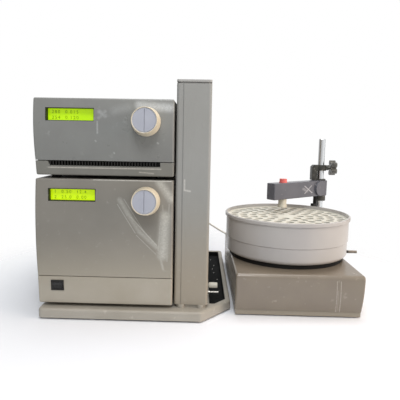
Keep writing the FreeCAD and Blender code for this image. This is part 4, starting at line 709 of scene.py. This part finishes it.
@dataclass
class Module(SubAssembly):
    """One of the two modules: display rows and rear screws are modelled on it."""

    name: str
    rows: tuple[str, str]
    row_left: float
    row_low: float
    row_pitch: float = 10.4
    letter: float = 8.6
    letter_space: float = 1.35
    letter_depth: float = 0.06
    glass_front: float = 14.5
    screws: tuple[tuple[float, float], ...] = ()
    rear: float = 366.0
    screw_radius: float = 3.2
    screw_height: float = 1.8
    screw_round: float = 0.9
    slot_length: float = 3.4
    slot_width: float = 0.8
    slot_depth: float = 0.95

    def build(self) -> None:
        """Models the display's characters and the screws of the rear panel."""
        self.characters()
        self.rear_screws()

    def characters(self) -> None:
        """Sets two rows of plain figures against the glass."""
        for number, row in enumerate(self.rows):
            height = self.row_low + (len(self.rows) - 1 - number) * self.row_pitch
            bpy.ops.object.select_all(action="DESELECT")
            bpy.ops.object.text_add(location=at(self.row_left, self.glass_front, height),
                                    rotation=(math.pi / 2, 0.0, 0.0))
            text = bpy.context.object
            text.data.body = row
            text.data.size = self.letter * MM
            text.data.space_character = self.letter_space
            text.data.extrude = self.letter_depth * MM
            bpy.ops.object.convert(target="MESH")
            text.name = f"{self.name}_figures_{number + 1}"
            settle(text, CRYSTAL_INK, "frame")
        LOG.info("%s: %d rows of figures", self.name, len(self.rows))

    def rear_screws(self) -> None:
        """Models a pan-head screw with a cross recess, and copies it round the panel."""
        first = self.screws[0]
        depth = self.screw_height
        bpy.ops.object.select_all(action="DESELECT")
        bpy.ops.mesh.primitive_cylinder_add(
            vertices=28, radius=self.screw_radius * MM, depth=depth * MM,
            location=at(first[0], self.rear + depth / 2, first[1]),
            rotation=(math.pi / 2, 0.0, 0.0))
        screw = bpy.context.object
        screw.name = f"{self.name}_rear_screw_1"
        bpy.ops.object.transform_apply(location=True, rotation=True, scale=True)
        self.round_the_head(screw)
        for turned in (False, True):
            self.cut_slot(screw, first, turned)
        bpy.ops.object.select_all(action="DESELECT")
        screw.select_set(True)
        bpy.context.view_layer.objects.active = screw
        bpy.ops.object.shade_smooth_by_angle(angle=math.radians(35))
        settle(screw, TURNED_STEEL, "frame")
        for number, spot in enumerate(self.screws[1:], start=2):
            shift = at(spot[0], 0.0, spot[1]) - at(first[0], 0.0, first[1])
            copy = copy_of(screw, f"{self.name}_rear_screw_{number}", shift)
            settle(copy, TURNED_STEEL, "frame")
        LOG.info("%s: %d rear screws", self.name, len(self.screws))

    def round_the_head(self, screw: bpy.types.Object) -> None:
        """Bevels the rim of the head's outer face.

        Args:
            screw: The screw's head.
        """
        outer = at(0.0, self.rear + self.screw_height, 0.0).y
        bpy.ops.object.mode_set(mode="EDIT")
        bpy.ops.mesh.select_mode(type="EDGE")
        bpy.ops.object.mode_set(mode="OBJECT")
        for face in screw.data.polygons:
            face.select = False
        for edge in screw.data.edges:
            ends = [screw.data.vertices[index].co.y for index in edge.vertices]
            edge.select = all(abs(y - outer) < TOUCH for y in ends)
        bpy.ops.object.mode_set(mode="EDIT")
        bpy.ops.mesh.bevel(offset=self.screw_round * MM, segments=4)
        bpy.ops.object.mode_set(mode="OBJECT")

    def cut_slot(self, screw: bpy.types.Object, spot: tuple[float, float],
                 turned: bool) -> None:
        """Cuts one arm of the cross recess.

        Args:
            screw: The screw's head.
            spot: Its place on the panel, X and Z.
            turned: Whether the arm stands upright.
        """
        long_side, short_side = self.slot_length * MM, self.slot_width * MM
        bpy.ops.object.select_all(action="DESELECT")
        bpy.ops.mesh.primitive_cube_add(
            size=1.0, location=at(spot[0], self.rear + self.screw_height, spot[1]))
        cutter = bpy.context.object
        across, upright = (short_side, long_side) if turned else (long_side, short_side)
        cutter.scale = (across, 2 * self.slot_depth * MM, upright)
        bpy.ops.object.transform_apply(location=True, rotation=True, scale=True)
        recess = screw.modifiers.new("recess", "BOOLEAN")
        recess.operation = "DIFFERENCE"
        recess.solver = "EXACT"
        recess.object = cutter
        bpy.ops.object.select_all(action="DESELECT")
        screw.select_set(True)
        bpy.context.view_layer.objects.active = screw
        bpy.ops.object.modifier_apply(modifier=recess.name)
        bpy.data.objects.remove(cutter, do_unlink=True)


@dataclass
class PumpModule(Module):
    """The lower module, with the pump heads at its side and the power switch."""

    finishes: ClassVar = {
        "pump_housing": HOUSING_PAINT, "pump_front_panel": PUMP_PAINT,
        "pump_lower_panel": STRIP_PAINT, "pump_rear_panel": HOUSING_PAINT,
        "pump_display_bezel": BLACK_ABS, "pump_dial_ring": DIAL_CREAM,
        "pump_dial_core": CORE_PALE, "pump_esc_button": BUTTON_BLUE,
        "pump_ok_button": BUTTON_BLUE, "power_switch_frame": BLACK_ABS,
        "power_rocker": ROCKER_GLOSS, "mains_inlets": BLACK_ABS,
        "pump_heads": TURNED_STEEL, "check_valves": TURNED_STEEL,
        "pump_drive_units": CAST_ALUMINIUM, "pump_board": LAMINATE,
        "module_feet": RUBBER,
        "pump_display": LitDisplay("backlit_display_lower", "#d6fb08", "#c8f000")}


@dataclass
class MonitorModule(Module):
    """The upper module, with the vent grille under its front panel."""

    finishes: ClassVar = {
        "monitor_housing": HOUSING_PAINT, "monitor_front_panel": MONITOR_PAINT,
        "monitor_lower_panel": VENT_STRIP_PAINT, "monitor_rear_panel": HOUSING_PAINT,
        "monitor_display_bezel": BLACK_ABS, "monitor_dial_ring": DIAL_CREAM,
        "monitor_dial_core": CORE_PALE, "monitor_esc_button": BUTTON_BLUE,
        "monitor_ok_button": BUTTON_BLUE, "vent_grille": BLACK_ABS,
        "monitor_board": LAMINATE, "lamp_unit": CAST_ALUMINIUM,
        "monitor_display": LitDisplay("backlit_display_upper", "#c2f00a", "#b2e400")}


@dataclass
class Collector(SubAssembly):
    """Fraction collector: cover, gutter, turning bowl and its drive."""

    finishes: ClassVar = {
        "collector_cover": COLLECTOR_PAINT, "collector_chassis": HOUSING_PAINT,
        "drain_ring": GUTTER_PAINTED_SHADE, "spindle_bearing": TURNED_STEEL, "bowl": BOWL_ABS,
        "bowl_spindle": TURNED_STEEL, "tube_support": SUPPORT_PAINTED_SHADE,
        "tube_holder": HOLDER_IVORY, "drive_sleeve": RUBBER,
        "drive_shaft": TURNED_STEEL, "drive_motor": BLACK_ABS}


@dataclass
class Dispenser(SubAssembly):
    """Post, clamp and arm, with the nozzle, its nut and the rim sensor."""

    finishes: ClassVar = {
        "post": CHROME, "arm_carrier": CLAMP_BLACK, "arm_collar": CLAMP_BLACK,
        "clamp_knob": KNOB_BLACK, "arm": ARM_GREY, "drop_nozzle": FITTING_WHITE,
        "tubing_nut": NUT_RED, "rim_sensor": BLACK_ABS, "link_plugs": BLACK_ABS}


@dataclass(frozen=True)
class Lamp:
    """Soft flat lamp, placed in the set's own millimetres and sized in metres.

    A lamp that isn't mirrored only lights, and shows in no polished surface.
    """

    name: str
    spot: tuple[float, float, float]
    size: tuple[float, float]
    power: float
    colour: str
    mirrored: bool = True

    def hang(self, target: Vector) -> None:
        """Hangs the lamp and turns it to the target.

        Args:
            target: The point that it lights, in metres.
        """
        data = bpy.data.lights.new(self.name, "AREA")
        data.shape = "RECTANGLE"
        data.size, data.size_y = self.size
        data.energy = self.power
        data.color = linear(self.colour)[:3]
        lamp = bpy.data.objects.new(self.name, data)
        bpy.context.scene.collection.objects.link(lamp)
        lamp.location = at(*self.spot)
        aim = target - lamp.location
        lamp.rotation_euler = aim.to_track_quat("-Z", "Y").to_euler()
        lamp.visible_glossy = self.mirrored


@dataclass
class Studio:
    """Camera at the photograph's place, pale floor, soft lamps and the room's light."""

    eye: tuple[float, float, float] = (310.78, -780.93, 346.98)
    yaw: float = -1.415
    pitch: float = 6.391
    roll: float = 1.003
    focal_px: float = 425.07
    picture_px: float = 400.0
    centre_px: tuple[float, float] = (190.07, 188.06)
    sensor_mm: float = 36.0
    clip: tuple[float, float] = (0.05, 50.0)
    floor_colour: str = "#f6f9ff"
    floor_size: float = 3.0
    floor_drop: float = 0.0005
    floor_fade: tuple[float, float] = (0.34, 0.72)
    card_colour: str = "#1c1b1a"
    card_place: tuple[float, float, float] = (1700.0, 1150.0, 420.0)
    card_size: tuple[float, float] = (0.55, 1.0)
    card_turn: float = -52.0
    lit_point: tuple[float, float, float] = (320.0, 150.0, 200.0)
    soft_light: tuple[float, float] = (0.16, 0.8)
    mirrored_light: tuple[float, float] = (0.4, 1.0)
    lamps: tuple[Lamp, ...] = (
        Lamp("key", (250.0, -1250.0, 1800.0), (0.8, 0.8), 18.0, "#ffffff"),
        Lamp("fill", (1850.0, -230.0, 650.0), (1.0, 1.2), 13.0, "#ffe0c0",
             mirrored=False),
        Lamp("top", (420.0, 300.0, 2200.0), (1.2, 1.2), 14.0, "#ffffff"),
    )

    def build(self) -> None:
        """Lays the floor, stands the card, hangs the lamps and lights the room."""
        self.floor()
        self.dark_card()
        for lamp in self.lamps:
            lamp.hang(at(*self.lit_point))
            LOG.info("lamp: %s", lamp.name)
        self.world()

    def camera(self) -> None:
        """Makes the camera from the eye point, the three turns and the focal length."""
        data = bpy.data.cameras.new("eye")
        data.sensor_width = self.sensor_mm
        data.lens = self.sensor_mm * self.focal_px / self.picture_px
        middle = self.picture_px / 2
        data.shift_x = (middle - self.centre_px[0]) / self.picture_px
        data.shift_y = (self.centre_px[1] - middle) / self.picture_px
        data.clip_start, data.clip_end = self.clip
        camera = bpy.data.objects.new("eye", data)
        bpy.context.scene.collection.objects.link(camera)
        yaw, pitch, roll = (math.radians(a) for a in (self.yaw, self.pitch, self.roll))
        ahead = Vector((math.sin(yaw) * math.cos(pitch), math.cos(yaw) * math.cos(pitch),
                        -math.sin(pitch)))
        right = Vector((math.cos(yaw), -math.sin(yaw), 0.0))
        up = right.cross(ahead)
        turned_right = right * math.cos(roll) + up * math.sin(roll)
        turned_up = up * math.cos(roll) - right * math.sin(roll)
        turn = Matrix((turned_right, turned_up, -ahead)).transposed().to_4x4()
        camera.matrix_world = Matrix.Translation(at(*self.eye)) @ turn
        bpy.context.scene.camera = camera

    def floor(self) -> None:
        """Lays a pale floor that ends in the white of the room all round."""
        material = bpy.data.materials.new("pale_studio_floor")
        material.use_nodes = True
        tree = material.node_tree
        tree.nodes.clear()
        place = add_node(tree, "ShaderNodeTexCoord").outputs["Object"]
        away = add_node(tree, "ShaderNodeVectorMath", {0: place}, operation="LENGTH")
        fade = add_node(tree, "ShaderNodeMapRange", {
            "Value": away.outputs["Value"], "From Min": self.floor_fade[0],
            "From Max": self.floor_fade[1]}, interpolation_type="SMOOTHSTEP")
        pale = add_node(tree, "ShaderNodeBsdfPrincipled", {
            "Base Color": linear(self.floor_colour), "Roughness": 1.0,
            "Specular IOR Level": 0.0})
        clear = add_node(tree, "ShaderNodeBsdfTransparent")
        mix = add_node(tree, "ShaderNodeMixShader", {
            0: fade.outputs["Result"], 1: pale.outputs[0], 2: clear.outputs[0]})
        add_node(tree, "ShaderNodeOutputMaterial", {"Surface": mix.outputs[0]})
        bpy.ops.mesh.primitive_plane_add(
            size=self.floor_size, location=(0.0, 0.0, -self.floor_drop))
        floor = bpy.context.object
        floor.name = "studio_floor"
        floor.data.materials.append(material)

    def dark_card(self) -> None:
        """Stands a dark card behind and to the right, that only the metal shows."""
        material = bpy.data.materials.new("black_flock_card")
        material.use_nodes = True
        tree = material.node_tree
        tree.nodes.clear()
        shader = add_node(tree, "ShaderNodeBsdfPrincipled", {
            "Base Color": linear(self.card_colour), "Roughness": 1.0})
        add_node(tree, "ShaderNodeOutputMaterial", {"Surface": shader.outputs[0]})
        bpy.ops.mesh.primitive_plane_add(
            size=1.0, location=at(*self.card_place),
            rotation=(math.pi / 2, 0.0, math.radians(self.card_turn)))
        card = bpy.context.object
        card.name = "dark_card"
        card.scale = (*self.card_size, 1.0)
        card.visible_camera = False
        card.data.materials.append(material)

    def world(self) -> None:
        """Lights the room, more towards the right, and shows white to the camera."""
        world = bpy.data.worlds.new("white_room")
        bpy.context.scene.world = world
        world.use_nodes = True
        tree = world.node_tree
        tree.nodes.clear()
        rays = add_node(tree, "ShaderNodeLightPath")
        shown = add_node(tree, "ShaderNodeMath", {
            0: rays.outputs["Is Camera Ray"], 1: rays.outputs["Is Transmission Ray"]},
            operation="MAXIMUM")
        # The real room is darker at the left, so soft light and reflections both grow
        # from there to the right.
        way = add_node(tree, "ShaderNodeTexCoord").outputs["Generated"]
        axes = add_node(tree, "ShaderNodeSeparateXYZ", {"Vector": way})
        soft = add_node(tree, "ShaderNodeMapRange", {
            "Value": axes.outputs["X"], "From Min": -1.0, "From Max": 1.0,
            "To Min": self.soft_light[0], "To Max": self.soft_light[1]})
        mirrored = add_node(tree, "ShaderNodeMapRange", {
            "Value": axes.outputs["X"], "From Min": -1.0, "From Max": 1.0,
            "To Min": self.mirrored_light[0], "To Max": self.mirrored_light[1]})
        unseen = add_node(tree, "ShaderNodeMix", {
            "Factor": rays.outputs["Is Glossy Ray"], "A": soft.outputs["Result"],
            "B": mirrored.outputs["Result"]})
        strength = add_node(tree, "ShaderNodeMapRange", {
            "Value": shown.outputs[0], "To Min": unseen.outputs["Result"],
            "To Max": 1.0})
        back = add_node(tree, "ShaderNodeBackground", {
            "Color": (1.0, 1.0, 1.0, 1.0), "Strength": strength.outputs["Result"]})
        add_node(tree, "ShaderNodeOutputWorld", {"Surface": back.outputs[0]})


@dataclass
class LinkCable:
    """Cable between the backs of the pump and the collector, one smooth curve."""

    route: tuple[tuple[float, float, float], ...] = (
        (225.0, 386.0, 165.0), (225.0, 423.0, 165.0), (252.0, 452.0, 151.0),
        (300.0, 461.0, 129.0), (347.0, 466.5, 97.0), (393.0, 470.0, 69.0),
        (432.0, 480.0, 58.0), (458.0, 480.0, 52.0), (480.0, 461.0, 50.0),
        (480.0, 435.0, 50.0),
    )
    diameter: float = 5.0

    def build(self) -> bpy.types.Object:
        """Makes the cable as a curve that rides on the frame.

        Returns:
            The cable.
        """
        curve = bpy.data.curves.new("cable", "CURVE")
        curve.dimensions = "3D"
        curve.bevel_depth = self.diameter * MM / 2
        curve.bevel_resolution = 5
        curve.resolution_u = 10
        curve.use_fill_caps = True
        spline = curve.splines.new("NURBS")
        spline.points.add(len(self.route) - 1)
        for point, place in zip(spline.points, self.route):
            point.co = (*at(*place), 1.0)
        spline.order_u = 3
        spline.use_endpoint_u = True
        cable = bpy.data.objects.new("cable", curve)
        bpy.context.scene.collection.objects.link(cable)
        curve.materials.append(SHEATH.make())
        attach(cable, "frame")
        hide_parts("link_cable")
        self.length()
        LOG.info("cable: %.0f mm", self.length() / MM)
        return cable

    def length(self) -> float:
        """Gives the cable's length in metres, along its smooth line.

        Returns:
            The length of the quadratic B-spline that the route's points pull.
        """
        points = [at(*place) for place in self.route]
        joints = [points[0]]
        joints += [(a + b) / 2 for a, b in zip(points[1:-2], points[2:-1])]
        joints.append(points[-1])
        steps = 60
        total = 0.0
        for start, pull, end in zip(joints, points[1:-1], joints[1:]):
            last = start
            for number in range(1, steps + 1):
                share = number / steps
                spot = (start.lerp(pull, share)).lerp(pull.lerp(end, share), share)
                total += (spot - last).length
                last = spot
        return total


def main() -> None:
    """Builds the scene."""
    logging.basicConfig(level=logging.INFO, format="%(message)s")
    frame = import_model()
    bpy.ops.object.select_all(action="DESELECT")
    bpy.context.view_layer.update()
    bpy.context.scene.view_settings.view_transform = "Standard"

    studio = Studio()
    studio.camera()
    LinkCable().build()
    nodes = frame["nodes"]
    assemblies = (
        Platform(nodes),
        Tower(nodes),
        PumpModule(nodes, name="pump", rows=("1  0.50  12.4", "2  25.0  0.00"),
                   row_left=33.0, row_low=233.2,
                   screws=((9.0, 262.5), (251.0, 262.5), (9.0, 150.0), (251.0, 150.0),
                           (9.0, 36.7), (251.0, 36.7))),
        MonitorModule(nodes, name="monitor", rows=("280  0.015", "254  0.120"),
                      row_left=31.0, row_low=382.6,
                      screws=((9.0, 411.9), (251.0, 411.9), (9.0, 286.9),
                              (251.0, 286.9))),
        Collector(nodes),
        Dispenser(nodes),
    )
    for assembly in assemblies:
        assembly.dress()
        assembly.build()
    studio.build()


if __name__ == "__main__":
    main()
